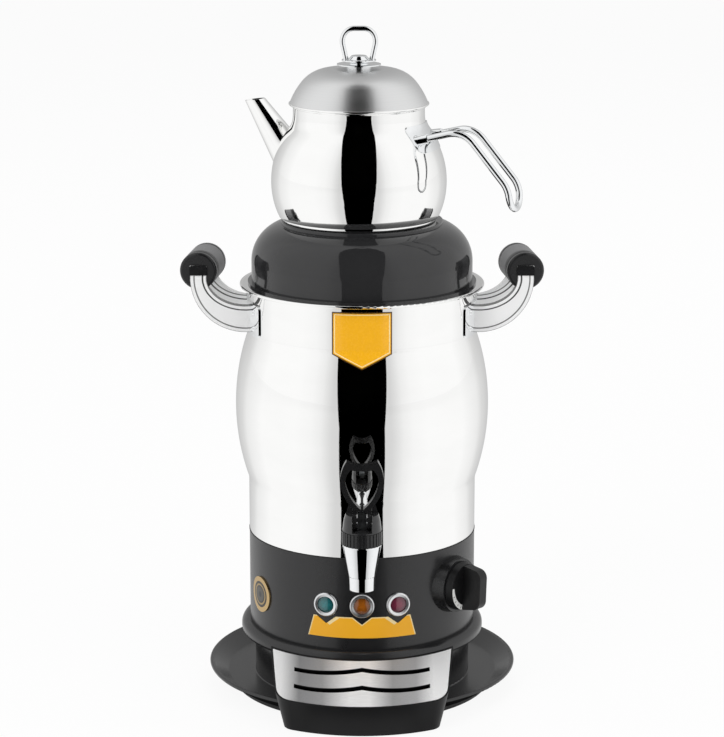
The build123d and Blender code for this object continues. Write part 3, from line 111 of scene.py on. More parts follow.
def around(tree, pitch_mm, centre=(0, 0, 0)):
    """A noise that changes only with the distance from a vertical axis: turned or spun marks."""
    from_axis = add(tree, "ShaderNodeVectorMath", {"operation": "SUBTRACT"}, {0: place_of(tree), 1: centre})
    flat = add(tree, "ShaderNodeVectorMath", {"operation": "MULTIPLY"}, {0: from_axis.outputs[0], 1: (1, 1, 0)})
    radius = add(tree, "ShaderNodeVectorMath", {"operation": "LENGTH"}, {0: flat.outputs[0]})
    height = add(tree, "ShaderNodeSeparateXYZ", inputs={0: from_axis.outputs[0]})
    lookup = add(tree, "ShaderNodeCombineXYZ", inputs={0: radius.outputs["Value"], 1: height.outputs["Z"]})
    noise = add(tree, "ShaderNodeTexNoise", inputs={
        "Vector": lookup.outputs[0], "Scale": 1 / (pitch_mm * MM), "Detail": 2.0})
    return noise.outputs["Fac"]


def roughen(tree, shader, pattern, smooth, rough):
    """The pattern moves the roughness between two values."""
    level = add(tree, "ShaderNodeMapRange", inputs={0: pattern, 3: smooth, 4: rough})
    tree.links.new(level.outputs[0], shader.inputs["Roughness"])


def tint(tree, shader, pattern, dark, light):
    """The pattern moves the colour between two near hex values."""
    mix = add(tree, "ShaderNodeMix", {"data_type": "RGBA"}, {0: pattern, 6: linear(dark), 7: linear(light)})
    tree.links.new(mix.outputs[2], shader.inputs["Base Color"])


def emboss(tree, shader, pattern, depth_mm, strength=1.0):
    """The pattern raises the surface by up to this depth."""
    bump = add(tree, "ShaderNodeBump", inputs={
        "Height": pattern, "Distance": depth_mm * MM, "Strength": strength})
    tree.links.new(bump.outputs["Normal"], shader.inputs["Normal"])


# ------------------------------------------------------------------ metals
def polished_steel():
    """Stainless sheet, deep drawn and mirror buffed: clear reflections with the faintest haze."""
    material, tree, shader = start("stainless_steel_mirror_buffed", Metallic=1.0)
    haze = grain(tree, 14.0, detail=2.0, stretch=(3, 3, 1))
    tint(tree, shader, haze, "#F8F8F7", "#FDFDFC")
    roughen(tree, shader, haze, 0.015, 0.045)
    return material


def spun_lid_steel():
    """Stainless sheet, spun and satin brushed: rings too fine to see blur the reflections into a glow."""
    material, tree, shader = start("stainless_steel_satin_spun", Metallic=1.0)
    rings = around(tree, 0.35, LID_AXIS)
    tint(tree, shader, rings, "#D9DADA", "#E6E6E6")
    roughen(tree, shader, rings, 0.27, 0.36)
    emboss(tree, shader, rings, 0.004)
    return material


def brushed_grille_steel():
    """Stainless sheet brushed from side to side: hair-fine streaks along X, with bands of painted reflection across
    its width. Painted shade darkens the stamped slot walls and everything below the top face."""
    material, tree, shader = start("stainless_steel_brushed", Metallic=0.4)
    # Painted reflection: bands of brightness across X.
    side = add(tree, "ShaderNodeSeparateXYZ", inputs={0: place_of(tree)}).outputs["X"]
    across = add(tree, "ShaderNodeMapRange", inputs={0: side, 1: -GRILLE_HALF, 2: GRILLE_HALF})
    sheen = add(tree, "ShaderNodeValToRGB", inputs={0: across.outputs[0]})
    spread_stops(sheen, [(where, linear(code)) for where, code in GRILLE_SHEEN])
    streaks = grain(tree, 0.22, detail=5.0, stretch=(90, 1, 1))
    brushed = add(tree, "ShaderNodeMapRange", inputs={0: streaks, 1: 0.3, 2: 0.7, 3: 0.86, 4: 1.06})
    colour = add(tree, "ShaderNodeVectorMath", {"operation": "SCALE"}, {
        0: sheen.outputs["Color"], "Scale": brushed.outputs[0]})
    # Painted shade: dark below the grille's top face, on the slot walls and the underside.
    flat = add(tree, "ShaderNodeVectorMath", {"operation": "MULTIPLY"}, {0: place_of(tree), 1: (1, 1, 0)})
    radius = add(tree, "ShaderNodeVectorMath", {"operation": "LENGTH"}, {0: flat.outputs[0]}).outputs["Value"]
    height = add(tree, "ShaderNodeSeparateXYZ", inputs={0: place_of(tree)}).outputs["Z"]
    level = add(tree, "ShaderNodeMath", {"operation": "MULTIPLY_ADD"}, {0: radius, 1: GRILLE_SLOPE, 2: height})
    edge = add(tree, "ShaderNodeMapRange", inputs={
        0: level.outputs[0], 1: GRILLE_LEVEL - EDGE_DARK_BELOW, 2: GRILLE_LEVEL - EDGE_BRIGHT_ABOVE})
    shown = add(tree, "ShaderNodeMix", {"data_type": "RGBA"}, {
        0: edge.outputs[0], 6: linear("#0C0C0C"), 7: colour.outputs[0]})
    tree.links.new(shown.outputs[2], shader.inputs["Base Color"])
    roughen(tree, shader, streaks, 0.36, 0.5)
    emboss(tree, shader, streaks, 0.004)
    return material


def plain_steel():
    """Zinc plated steel of screws, nuts, stems and springs: grey, a little cloudy."""
    material, tree, shader = start("steel_zinc_plated", Metallic=1.0)
    cloud = grain(tree, 2.5)
    tint(tree, shader, cloud, "#A2A5A8", "#BBBEC0")
    roughen(tree, shader, cloud, 0.24, 0.4)
    emboss(tree, shader, grain(tree, 0.4), 0.006)
    return material


def pickled_steel():
    """Drawn stainless sheet left as pressed, for the pan inside the tank: matt grey."""
    material, tree, shader = start("stainless_steel_pressed", Metallic=1.0)
    cloud = grain(tree, 6.0)
    tint(tree, shader, cloud, "#B4B5B5", "#C9CACA")
    roughen(tree, shader, cloud, 0.3, 0.42)
    emboss(tree, shader, grain(tree, 0.8), 0.008)
    return material


def heater_sheath():
    """Nickel alloy tube of the element, annealed: dark warm grey with straw patches."""
    material, tree, shader = start("nickel_alloy_sheath_annealed", Metallic=1.0)
    patches = grain(tree, 9.0)
    tint(tree, shader, patches, "#6E6A64", "#8C857A")
    roughen(tree, shader, patches, 0.35, 0.5)
    emboss(tree, shader, grain(tree, 0.6), 0.01)
    return material


def chrome_plate():
    """Chromium over polished nickel: blue-white, sharp reflections, slight orange peel."""
    material, tree, shader = start("chromium_plated_polished", Metallic=1.0)
    peel = grain(tree, 3.0, detail=1.0)
    tint(tree, shader, peel, "#EDEFF0", "#F5F6F7")
    roughen(tree, shader, peel, 0.02, 0.05)
    emboss(tree, shader, peel, 0.003)
    return material


def turned_brass():
    """Free-cutting brass as turned: yellow, with fine lathe marks."""
    material, tree, shader = start("brass_turned", Metallic=1.0)
    marks = around(tree, 0.3)
    tint(tree, shader, marks, "#B08D45", "#CDAA5E")
    roughen(tree, shader, marks, 0.22, 0.36)
    emboss(tree, shader, marks, 0.004)
    return material


# ------------------------------------------------------------------ plastics and rubbers
def plastic(name, dark, light, smooth, rough, texture_mm, texture_depth_mm):
    """A moulded plastic: one colour, an uneven gloss and the mould's own surface."""
    material, tree, shader = start(name, IOR=1.5)
    tint(tree, shader, grain(tree, 18.0), dark, light)
    roughen(tree, shader, grain(tree, 9.0, detail=2.0), smooth, rough)
    emboss(tree, shader, grain(tree, texture_mm, detail=2.0), texture_depth_mm)
    return material


def cover_gloss():
    """Black ABS moulded against a polished steel tool: deep gloss with a slight waviness."""
    return plastic("abs_black_high_gloss", "#282829", "#2C2C2D", 0.03, 0.06, 16.0, 0.01)


def housing_gloss():
    """Black ABS from a finely blasted tool: reflections melt into a soft sheen."""
    return plastic("abs_black_satin_gloss", "#1D1D1E", "#222223", 0.2, 0.28, 0.7, 0.006)


def foot_gloss():
    """Black polypropylene, moulded smooth: softer gloss than the cover, and dull on its unseen underside."""
    finish = plastic("polypropylene_black_gloss", "#1B1B1C", "#202021", 0.16, 0.24, 1.2, 0.006)
    tree = finish.node_tree
    facing = add(tree, "ShaderNodeTexCoord").outputs["Normal"]
    upwards = add(tree, "ShaderNodeSeparateXYZ", inputs={0: facing}).outputs["Z"]
    sheen = add(tree, "ShaderNodeMapRange", inputs={0: upwards, 1: -0.4, 2: -0.1, 3: 0.0, 4: 0.6})
    tree.links.new(sheen.outputs[0], tree.nodes["Principled BSDF"].inputs["Specular IOR Level"])
    return finish


def tray_black():
    """Black polypropylene from a textured tool: dark and matt, with little sheen."""
    finish = plastic("polypropylene_black_textured", "#111112", "#171718", 0.38, 0.5, 0.6, 0.012)
    finish.node_tree.nodes["Principled BSDF"].inputs["Specular IOR Level"].default_value = 0.22
    return finish


def grip_black():
    """Black phenolic resin of the grips, with a painted sheen: greyish towards the back, darker near the front cap,
    and a random grain of tone.
    """
    material, tree, shader = start("phenolic_grip_painted_sheen", IOR=1.5)
    along = add(tree, "ShaderNodeSeparateXYZ", inputs={0: place_of(tree)}).outputs["Y"]
    # Painted sheen: grey from just behind the front cap to the back of the grip.
    bloom = add(tree, "ShaderNodeMapRange", inputs={0: along, 1: -13 * MM, 2: -9 * MM})
    uneven = add(tree, "ShaderNodeMath", {"operation": "MULTIPLY_ADD"}, {
        0: grain(tree, 2.0), 1: 0.16, 2: bloom.outputs[0]})
    tint(tree, shader, uneven.outputs[0], "#242425", "#767677")
    roughen(tree, shader, grain(tree, 3.0), 0.36, 0.48)
    emboss(tree, shader, grain(tree, 0.8), 0.01)
    return material


def arm_chrome():
    """Chromed steel straps with a pressed channel: a white base colour as a painted reflection of the bright studio,
    and painted shade lines along the channel's pressed corners.
    """
    material, tree, shader = start("chromium_strap_painted_reflection_and_shade", Metallic=0.12)
    axes = add(tree, "ShaderNodeSeparateXYZ", inputs={0: place_of(tree)})
    side = add(tree, "ShaderNodeMath", {"operation": "ABSOLUTE"}, {0: axes.outputs["X"]}).outputs[0]
    shades = []
    for half_x, half_z, width, shade in ARM_LINES:
        from_x = add(tree, "ShaderNodeMath", {"operation": "SUBTRACT"}, {0: side, 1: ARM_CENTRE_X}).outputs[0]
        from_z = add(tree, "ShaderNodeMath", {"operation": "SUBTRACT"}, {0: axes.outputs["Z"], 1: ARM_CENTRE_Z})
        share_x = add(tree, "ShaderNodeMath", {"operation": "DIVIDE"}, {0: from_x, 1: half_x * MM}).outputs[0]
        share_z = add(tree, "ShaderNodeMath", {"operation": "DIVIDE"}, {0: from_z.outputs[0], 1: half_z * MM})
        both = add(tree, "ShaderNodeCombineXYZ", inputs={0: share_x, 1: share_z.outputs[0]})
        ring = add(tree, "ShaderNodeVectorMath", {"operation": "LENGTH"}, {0: both.outputs[0]}).outputs["Value"]
        off = add(tree, "ShaderNodeMath", {"operation": "SUBTRACT"}, {0: ring, 1: 1.0}).outputs[0]
        away = add(tree, "ShaderNodeMath", {"operation": "ABSOLUTE"}, {0: off}).outputs[0]
        band = width / (half_x + half_z) * 2
        shades += [add(tree, "ShaderNodeMapRange", inputs={
            0: away, 1: LINE_CORE * band, 2: LINE_EDGE * band, 3: shade, 4: 1.0}).outputs[0]]
    # Painted shade lines on a white that stands in for the chrome's reflection.
    tint(tree, shader, nearest(tree, shades), "#000000", "#FFFFFF")
    peel = grain(tree, 3.0, detail=1.0)
    roughen(tree, shader, peel, 0.16, 0.24)
    emboss(tree, shader, peel, 0.003)
    return material


def satin_chrome():
    """Chromium over a satin nickel: bright rings with soft reflections."""
    material, tree, shader = start("chromium_plated_satin", Metallic=1.0)
    cloud = grain(tree, 1.2)
    tint(tree, shader, cloud, "#E4E5E6", "#F0F1F2")
    roughen(tree, shader, cloud, 0.26, 0.34)
    return material


def phenolic_black():
    """Black phenolic resin of grips, nuts and levers, compression moulded: hard satin gloss."""
    return plastic("phenolic_black_moulded", "#161617", "#1E1E1F", 0.2, 0.34, 0.6, 0.008)


def knob_black():
    """Black urea resin of the knob: a dry, dark surface with little sheen."""
    finish = plastic("urea_resin_black_moulded", "#0F0F10", "#141415", 0.34, 0.46, 0.5, 0.01)
    finish.node_tree.nodes["Principled BSDF"].inputs["Specular IOR Level"].default_value = 0.3
    return finish


def nylon_black():
    """Black glass-filled nylon of the hidden holders: matt, with a dry fine grain."""
    return plastic("nylon_black_glass_filled", "#1A1A1A", "#262626", 0.45, 0.6, 0.5, 0.02)


def rubber_black():
    """Black nitrile rubber, moulded: matt and slightly dusty."""
    return plastic("nitrile_rubber_moulded", "#181818", "#242424", 0.6, 0.78, 0.9, 0.02)


def silicone_grey():
    """Translucent food silicone, moulded: pale and soft looking."""
    return plastic("silicone_rubber_food_grade", "#C4BEB4", "#D2CCC2", 0.42, 0.55, 1.1, 0.01)


def scale_white():
    """White pad-printed ink on the dial: flat, with a faint screen grain."""
    return plastic("ink_white_pad_printed", "#D6D6D4", "#E4E4E2", 0.4, 0.55, 0.3, 0.004)


def lamp_lens(name, edge, middle, axis_degrees):
    """Tinted polycarbonate with moulded prisms inside: darker towards the rim, brighter facets within."""
    material, tree, shader = start(name, IOR=1.58, Coat_Weight=0.5, Coat_Roughness=0.03)
    centre = [LAMP_REACH * sin(radians(axis_degrees)), -LAMP_REACH * cos(radians(axis_degrees)), LAMP_HEIGHT]
    offset = add(tree, "ShaderNodeVectorMath", {"operation": "DISTANCE"}, {0: place_of(tree), 1: centre})
    towards_rim = add(tree, "ShaderNodeMapRange", inputs={
        0: offset.outputs["Value"], 1: 0.0, 2: LENS_R, 3: 0.9, 4: 0.0})
    facets = add(tree, "ShaderNodeTexVoronoi", {"feature": "F1"}, {
        "Vector": place_of(tree), "Scale": 1 / (1.6 * MM)})
    mixed = add(tree, "ShaderNodeMath", {"operation": "MULTIPLY_ADD"}, {
        0: facets.outputs["Distance"], 1: 0.35, 2: towards_rim.outputs[0]})
    tint(tree, shader, mixed.outputs[0], edge, middle)
    roughen(tree, shader, facets.outputs["Distance"], 0.08, 0.16)
    return material


# ------------------------------------------------------------------ printed and enamelled plates
def nearest(tree, sockets):
    """The smallest of several distances."""
    smallest = sockets[0]
    for socket in sockets[1:]:
        smallest = add(tree, "ShaderNodeMath", {"operation": "MINIMUM"}, {0: smallest, 1: socket}).outputs[0]
    return smallest


def line_distance(tree, across, height, normal, offset):
    """Signed distance, in metres, from a straight edge seen from the front."""
    both = add(tree, "ShaderNodeCombineXYZ", inputs={0: across, 1: height})
    dot = add(tree, "ShaderNodeVectorMath", {"operation": "DOT_PRODUCT"}, {0: both.outputs[0], 1: (*normal, 0)})
    return add(tree, "ShaderNodeMath", {"operation": "SUBTRACT"}, {0: dot.outputs["Value"], 1: offset}).outputs[0]


def bands(tree, distance, reach, stops):
    """Flat bands of colour by distance; a stop is (where it starts in metres, hex)."""
    share = add(tree, "ShaderNodeMapRange", inputs={0: distance, 1: 0.0, 2: reach})
    ramp = add(tree, "ShaderNodeValToRGB", inputs={0: share.outputs[0]})
    ramp.color_ramp.interpolation = "CONSTANT"
    spread_stops(ramp, [(where / reach, linear(code)) for where, code in stops])
    return ramp.outputs["Color"]


def badge_enamel():
    """Aluminium plate with stoved enamel: yellow, a brown edge and a thin cream line inside it."""
    material, tree, shader = start("aluminium_plate_enamelled", IOR=1.5, Coat_Weight=0.4, Coat_Roughness=0.08)
    axes = add(tree, "ShaderNodeSeparateXYZ", inputs={0: place_of(tree)})
    side = add(tree, "ShaderNodeMath", {"operation": "ABSOLUTE"}, {0: axes.outputs["X"]}).outputs[0]
    height = axes.outputs["Z"]
    run = sqrt(BADGE_HALF ** 2 + (BADGE_CORNER - BADGE_POINT) ** 2)
    slope = (-(BADGE_CORNER - BADGE_POINT) / run, BADGE_HALF / run)
    edge = nearest(tree, [
        line_distance(tree, side, height, (-1, 0), -BADGE_HALF),
        line_distance(tree, side, height, (0, -1), -BADGE_TOP),
        line_distance(tree, side, height, slope, BADGE_POINT * slope[1]),
    ])
    colour = bands(tree, edge, 5 * MM, [
        (0.0, "#5A3A08"), (0.9 * MM, "#F5B20C"), (1.7 * MM, "#FBE7B4"), (2.3 * MM, "#F7B40B")])
    tree.links.new(colour, shader.inputs["Base Color"])
    peel = grain(tree, 2.2)
    roughen(tree, shader, peel, 0.22, 0.32)
    emboss(tree, shader, peel, 0.004)
    return material


def label_print():
    """Polyester film printed from behind: amber with a pale outline under each lamp."""
    material, tree, shader = start("polyester_film_printed", IOR=1.5)
    axes = add(tree, "ShaderNodeSeparateXYZ", inputs={0: place_of(tree)})
    side = add(tree, "ShaderNodeMath", {"operation": "ABSOLUTE"}, {0: axes.outputs["X"]}).outputs[0]
    height = axes.outputs["Z"]
    lean = LABEL_HALF_LOW - LABEL_HALF_HIGH
    tall = LABEL_HIGH - LABEL_LOW
    run = sqrt(lean ** 2 + tall ** 2)
    flank = (-tall / run, -lean / run)
    edges = [
        line_distance(tree, side, height, (0, -1), -LABEL_HIGH),
        line_distance(tree, side, height, flank, flank[0] * LABEL_HALF_LOW + flank[1] * LABEL_LOW),
    ]
    rise = LABEL_NOTCH_DEPTH / LABEL_NOTCH_HALF
    notch_run = sqrt(1 + rise ** 2)
    for centre in (0.0, LABEL_NOTCH_X):
        from_centre = add(tree, "ShaderNodeMath", {"operation": "SUBTRACT"}, {0: side, 1: centre}).outputs[0]
        away = add(tree, "ShaderNodeMath", {"operation": "ABSOLUTE"}, {0: from_centre}).outputs[0]
        edges += [line_distance(tree, away, height, (rise / notch_run, -1 / notch_run),
                                -(LABEL_HIGH - LABEL_NOTCH_DEPTH) / notch_run)]
    colour = bands(tree, nearest(tree, edges), 4 * MM, [
        (0.0, "#F0D9A0"), (0.7 * MM, "#F0AC10")])
    tree.links.new(colour, shader.inputs["Base Color"])
    film = grain(tree, 1.4)
    roughen(tree, shader, film, 0.3, 0.42)
    emboss(tree, shader, film, 0.003)
    return material


def medallion_finish():
    """Stamped brass disc with black lacquer between its polished rings."""
    material, tree, shader = start("brass_stamped_lacquered", IOR=1.5)
    turn = radians(MEDALLION_AZIMUTH)
    across = add(tree, "ShaderNodeVectorMath", {"operation": "DOT_PRODUCT"}, {
        0: place_of(tree), 1: (cos(turn), sin(turn), 0)}).outputs["Value"]
    height = add(tree, "ShaderNodeSeparateXYZ", inputs={0: place_of(tree)}).outputs["Z"]
    level = add(tree, "ShaderNodeMath", {"operation": "SUBTRACT"}, {0: height, 1: MEDALLION_HEIGHT}).outputs[0]
    flat = add(tree, "ShaderNodeCombineXYZ", inputs={0: across, 1: level})
    radius = add(tree, "ShaderNodeVectorMath", {"operation": "LENGTH"}, {0: flat.outputs[0]}).outputs["Value"]
    colour = bands(tree, radius, 16 * MM, [
        (0.0, "#1C1B18"), (2.2 * MM, "#4A4740"), (6.0 * MM, "#26221A"), (7.2 * MM, "#A8926A"),
        (8.6 * MM, "#221D15"), (10.6 * MM, "#C4A878")])
    tree.links.new(colour, shader.inputs["Base Color"])
    metal = bands(tree, radius, 16 * MM, [
        (0.0, "#000000"), (7.2 * MM, "#FFFFFF"), (8.6 * MM, "#000000"), (10.6 * MM, "#FFFFFF")])
    tree.links.new(metal, shader.inputs["Metallic"])
    stamped = grain(tree, 0.9)
    roughen(tree, shader, stamped, 0.25, 0.38)
    emboss(tree, shader, stamped, 0.01)
    return material


# ------------------------------------------------------------------ sizes that the finishes follow
LID_AXIS = (-2.4 * MM, 0, 0)
LAMP_REACH = 93.5 * MM
LAMP_HEIGHT = 90.6 * MM
LENS_R = 6.6 * MM
LAMP_SPREAD = 18.0
BADGE_HALF = 23.0 * MM
BADGE_TOP = 325.0 * MM
BADGE_CORNER = 292.0 * MM
BADGE_POINT = 281.0 * MM
LABEL_LOW = 64.0 * MM
LABEL_HIGH = 81.0 * MM
LABEL_HALF_LOW = 42.3 * MM
LABEL_HALF_HIGH = 38.0 * MM
LABEL_NOTCH_DEPTH = 6.0 * MM
LABEL_NOTCH_HALF = 7.5 * MM
LABEL_NOTCH_X = 25.4 * MM
MEDALLION_AZIMUTH = -62.0
MEDALLION_HEIGHT = 84.6 * MM
GRILLE_HALF = 70.0 * MM
# Bands of painted reflection across the grille: share of its width, colour.
GRILLE_SHEEN = ((0.0, "#FFFFFF"), (0.05, "#F2F2F2"), (0.15, "#8E8E8F"), (0.28, "#A2A2A3"), (0.43, "#FFFFFF"),
                (0.54, "#FFFFFF"), (0.67, "#A6A6A7"), (0.8, "#B4B4B5"), (0.9, "#FFFFFF"), (1.0, "#FFFFFF"))
# The grille's top is a cone: its height plus this share of the distance from the axis is the same all over.
GRILLE_SLOPE = 0.488
GRILLE_BACK_R = 98.0
GRILLE_BACK_HEIGHT = 49.0
GRILLE_LEVEL = (GRILLE_BACK_HEIGHT + GRILLE_SLOPE * GRILLE_BACK_R) * MM
# Painted shade below the grille's top face: full from the first depth down, gone above the second.
EDGE_DARK_BELOW = 0.3 * MM
EDGE_BRIGHT_ABOVE = 0.15 * MM
ARM_CENTRE_X = 91.9 * MM
ARM_CENTRE_Z = 338.0 * MM
# The painted shade lines along the strap's pressed corners are ellipses: half width and half height, line width in
# millimetres, lightness.
ARM_LINES = ((43.1, 43.1, 0.4, 0.35), (39.9, 39.9, 0.5, 0.16), (33.3, 25.3, 0.55, 0.02), (30.1, 22.1, 0.45, 0.12))
# A line is full as far as the first share of its width, and gone by the second.
LINE_CORE = 0.6
LINE_EDGE = 1.4

finishes = {
    "mirror": (polished_steel(), "tank_shell pot_body pot_spout pot_base_disc"),
    "satin": (spun_lid_steel(), "pot_lid"),
    "brushed": (brushed_grille_steel(), "drip_grille"),
    "pressed": (pickled_steel(), "tank_floor thermal_cutout"),
    "sheath": (heater_sheath(), "heating_element"),
    "zinc": (plain_steel(), "case_screws thermostat_nut inlet_screws element_nuts thermostat_shaft lid_knob_nut "
                            "grip_rods tap_stem tap_pin tap_spring"),
    "chrome": (chrome_plate(), "foot_plates handle_rivets tap_body pot_bracket "
                               "bracket_rivets pot_handle_wire handle_ferrules lid_knob_base lid_knob_loop"),
    "brass": (turned_brass(), "inlet_pins tap_nut thermostat_bulb"),
    "arms": (arm_chrome(), "handle_arms"),
    "cover": (cover_gloss(), "dome_cover tap_bonnet"),
    "housing": (housing_gloss(), "base_housing base_collar"),
    "foot": (foot_gloss(), "base_foot"),
    "tray": (tray_black(), "drip_tray"),
    "bezels": (satin_chrome(), "lamp_bezels"),
    "grips": (grip_black(), "handle_grips"),
    "phenolic": (phenolic_black(), "grip_caps tap_ring_nut tap_lever thermostat_boss"),
    "knob": (knob_black(), "thermostat_knob"),
    "nylon": (nylon_black(), "bottom_cover lamp_bodies thermostat_body power_inlet"),
    "rubber": (rubber_black(), "foot_ring seal_ring element_gaskets tap_gaskets"),
    "silicone": (silicone_grey(), "tap_cup"),
    "green": (lamp_lens("polycarbonate_green", "#0E3436", "#257276", -LAMP_SPREAD), "lamp_lens_green"),
    "amber": (lamp_lens("polycarbonate_amber", "#4E2806", "#9A5510", 0.0), "lamp_lens_amber"),
    "red": (lamp_lens("polycarbonate_red", "#401624", "#7E3046", LAMP_SPREAD), "lamp_lens_red"),
    "badge": (badge_enamel(), "badge_plate"),
    "label": (label_print(), "indicator_label"),
    "medallion": (medallion_finish(), "side_medallion"),
}
for finish, names in finishes.values():
    for name in names.split():
        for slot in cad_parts[name].material_slots:
            slot.material = finish


# ------------------------------------------------------------------ pieces added to the frame
DIAL_AZIMUTH = 52.0
DIAL_HEIGHT = 97.5
DIAL_FACE = 104.5
SCALE_INK = 0.12
SCALE_OUTER_R = 18.3
SCALE_START = 172
SCALE_SWEEP = 122
SCALE_THIN = 0.7
SCALE_SWELL = 3.3
TICK_START = 196
TICK_STEP = 16
TICK_NEAR = 15.8
TICK_FAR = 17.6
TICK_HALF = 0.22
LIP_BEAD_R = 54.2
LIP_BEAD_HEIGHT = 472.9
LIP_BEAD_WIRE_R = 0.85
END_COVER_X = 128.46
END_COVER_NEAR = 23.9
END_COVER_FAR = 24.4
END_COVER_OUTLINE = ((-6.8, 340.4), (6.8, 340.4), (6.8, 346.4), (6.2, 347.7), (5.0, 348.2), (-5.0, 348.2),
                     (-6.2, 347.7), (-6.8, 346.4))


def mesh_object(name, points, faces, material, smooth=True):
    """A mesh piece from points in metres and faces."""
    mesh = bpy.data.meshes.new(name)
    mesh.from_pydata([tuple(point) for point in points], [], faces)
    mesh.materials.append(material)
    mesh.polygons.foreach_set("use_smooth", [smooth] * len(mesh.polygons))
    mesh.update()
    piece = bpy.data.objects.new(name, mesh)
    scene.collection.objects.link(piece)
    return piece


def ring_bead(name, radius, height, wire_r, centre_x, material):
    """A closed round bead about a vertical axis, in millimetres."""
    turns, sides = 160, 16
    points = []
    for turn in range(turns):
        angle = 2 * pi * turn / turns
        for side in range(sides):
            bend = 2 * pi * side / sides
            reach = radius + wire_r * cos(bend)
            points += [(MM * (centre_x + reach * cos(angle)), MM * reach * sin(angle),
                        MM * (height + wire_r * sin(bend)))]
    faces = [(turn * sides + side, (turn + 1) % turns * sides + side,
              (turn + 1) % turns * sides + (side + 1) % sides, turn * sides + (side + 1) % sides)
             for turn in range(turns) for side in range(sides)]
    return mesh_object(name, points, faces, material)


def dial_print(name, plan, high, material):
    """A closed outline on the knob's face, in millimetres right and up, printed this high."""
    turn = radians(DIAL_AZIMUTH)
    points = [(MM * (reach * sin(turn) + right * cos(turn)), MM * (right * sin(turn) - reach * cos(turn)),
               MM * (DIAL_HEIGHT + up))
              for reach in (DIAL_FACE - high, DIAL_FACE + high) for right, up in plan]
    count = len(plan)
    faces = [tuple(range(count))[::-1], tuple(range(count, 2 * count))]
    faces += [(step, (step + 1) % count, count + (step + 1) % count, count + step) for step in range(count)]
    return mesh_object(name, points, faces, material, smooth=False)


def crescent():
    """The dial's scale: a band that starts thin on the left and broadens towards the bottom."""
    steps = 28
    outer, inner = [], []
    for step in range(steps + 1):
        angle = radians(SCALE_START + SCALE_SWEEP * step / steps)
        width = SCALE_THIN + SCALE_SWELL * sin(pi * min(1.0, 0.12 + 0.8 * step / steps)) ** 0.7
        outer += [(SCALE_OUTER_R * cos(angle), SCALE_OUTER_R * sin(angle))]
        inner += [((SCALE_OUTER_R - width) * cos(angle), (SCALE_OUTER_R - width) * sin(angle))]
    return outer + inner[::-1]


def tick(degrees):
    """A short dark mark across the scale."""
    angle = radians(degrees)
    along, across = (cos(angle), sin(angle)), (-sin(angle), cos(angle))
    return [(reach * along[0] + side * across[0], reach * along[1] + side * across[1])
            for reach, side in ((TICK_NEAR, -TICK_HALF), (TICK_FAR, -TICK_HALF), (TICK_FAR, TICK_HALF),
                                (TICK_NEAR, TICK_HALF))]


polish = finishes["mirror"][0]
lip_bead = ring_bead("lid_lip_bead", LIP_BEAD_R, LIP_BEAD_HEIGHT, LIP_BEAD_WIRE_R, LID_AXIS[0] / MM, polish)
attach(lip_bead, "teapot_lid")
scale_band = dial_print("dial_scale", crescent(), SCALE_INK, scale_white())
ticks = [dial_print("dial_tick_%d" % number, tick(TICK_START + TICK_STEP * number), 1.5 * SCALE_INK, phenolic_black())
         for number in range(6)]
for piece in [scale_band] + ticks:
    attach(piece, "thermostat_dial")


def end_cover(name, centre_x, near_y, far_y, material):
    """A thin plate over the top end of an arm's strap, with its upper corners rounded, in millimetres."""
    count = len(END_COVER_OUTLINE)
    points = [(MM * (centre_x + right), MM * depth, MM * up)
              for depth in (near_y, far_y) for right, up in END_COVER_OUTLINE]
    faces = [tuple(range(count)), tuple(range(count, 2 * count))[::-1]]
    faces += [(step, count + step, count + (step + 1) % count, (step + 1) % count) for step in range(count)]
    return mesh_object(name, points, faces, material, smooth=False)


for number, (side, near_y, far_y) in enumerate((
        (-1, -END_COVER_FAR, -END_COVER_NEAR), (1, -END_COVER_FAR, -END_COVER_NEAR),
        (-1, END_COVER_NEAR, END_COVER_FAR), (1, END_COVER_NEAR, END_COVER_FAR))):
    plate = end_cover("arm_end_cover_%d" % number, side * END_COVER_X, near_y, far_y, finishes["phenolic"][0])
    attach(plate, "base_and_tank")


# ------------------------------------------------------------------ studio
FLOOR_HALF = 12.0
FLOOR_SHARE_IN_VIEW = 0.92
FLOOR_SHARE_IN_MIRRORS = 0.9
SKY_FILL = 0.62
# The black strip's rows: reach and height in metres, half width in degrees.
STRIP_ROWS = ((0.16, 0.0005, 21.0), (0.3, 0.0005, 20.0), (0.6, 0.0005, 19.5), (1.2, 0.0005, 19.5), (1.2, 0.3, 21.0),
              (1.2, 0.6, 22.5), (1.2, 0.9, 24.0), (1.2, 1.4, 28.0), (1.2, 2.3, 37.0), (1.2, 3.4, 48.0),
              (0.9, 5.0, 60.0), (0.3, 6.0, 80.0))
# How bright the studio is by its bearing from the front, in degrees.
STUDIO_LEVELS = ((0, 0.9), (14, 0.9), (20, 0.66), (25.7, 0.68), (30, 0.76), (36, 0.88), (45, 0.96), (60, 1.0),
                 (100, 1.0), (108, 0.95), (118, 0.9), (125, 0.86), (135, 0.71), (150, 0.61), (162, 0.55), (180, 0.45))


def studio_level(tree, vector):
    """How bright the studio looks in a reflection, by its bearing: paler in front, greyer behind."""
    axes = add(tree, "ShaderNodeSeparateXYZ", inputs={0: vector})
    side = add(tree, "ShaderNodeMath", {"operation": "ABSOLUTE"}, {0: axes.outputs["X"]}).outputs[0]
    front = add(tree, "ShaderNodeMath", {"operation": "MULTIPLY"}, {0: axes.outputs["Y"], 1: -1.0}).outputs[0]
    bearing = add(tree, "ShaderNodeMath", {"operation": "ARCTAN2"}, {0: side, 1: front}).outputs[0]
    share = add(tree, "ShaderNodeMapRange", inputs={0: bearing, 1: 0.0, 2: pi})
    ramp = add(tree, "ShaderNodeValToRGB", inputs={0: share.outputs[0]})
    spread_stops(ramp, [(degrees / 180, (level, level, level, 1)) for degrees, level in STUDIO_LEVELS])
    return ramp.outputs["Color"]


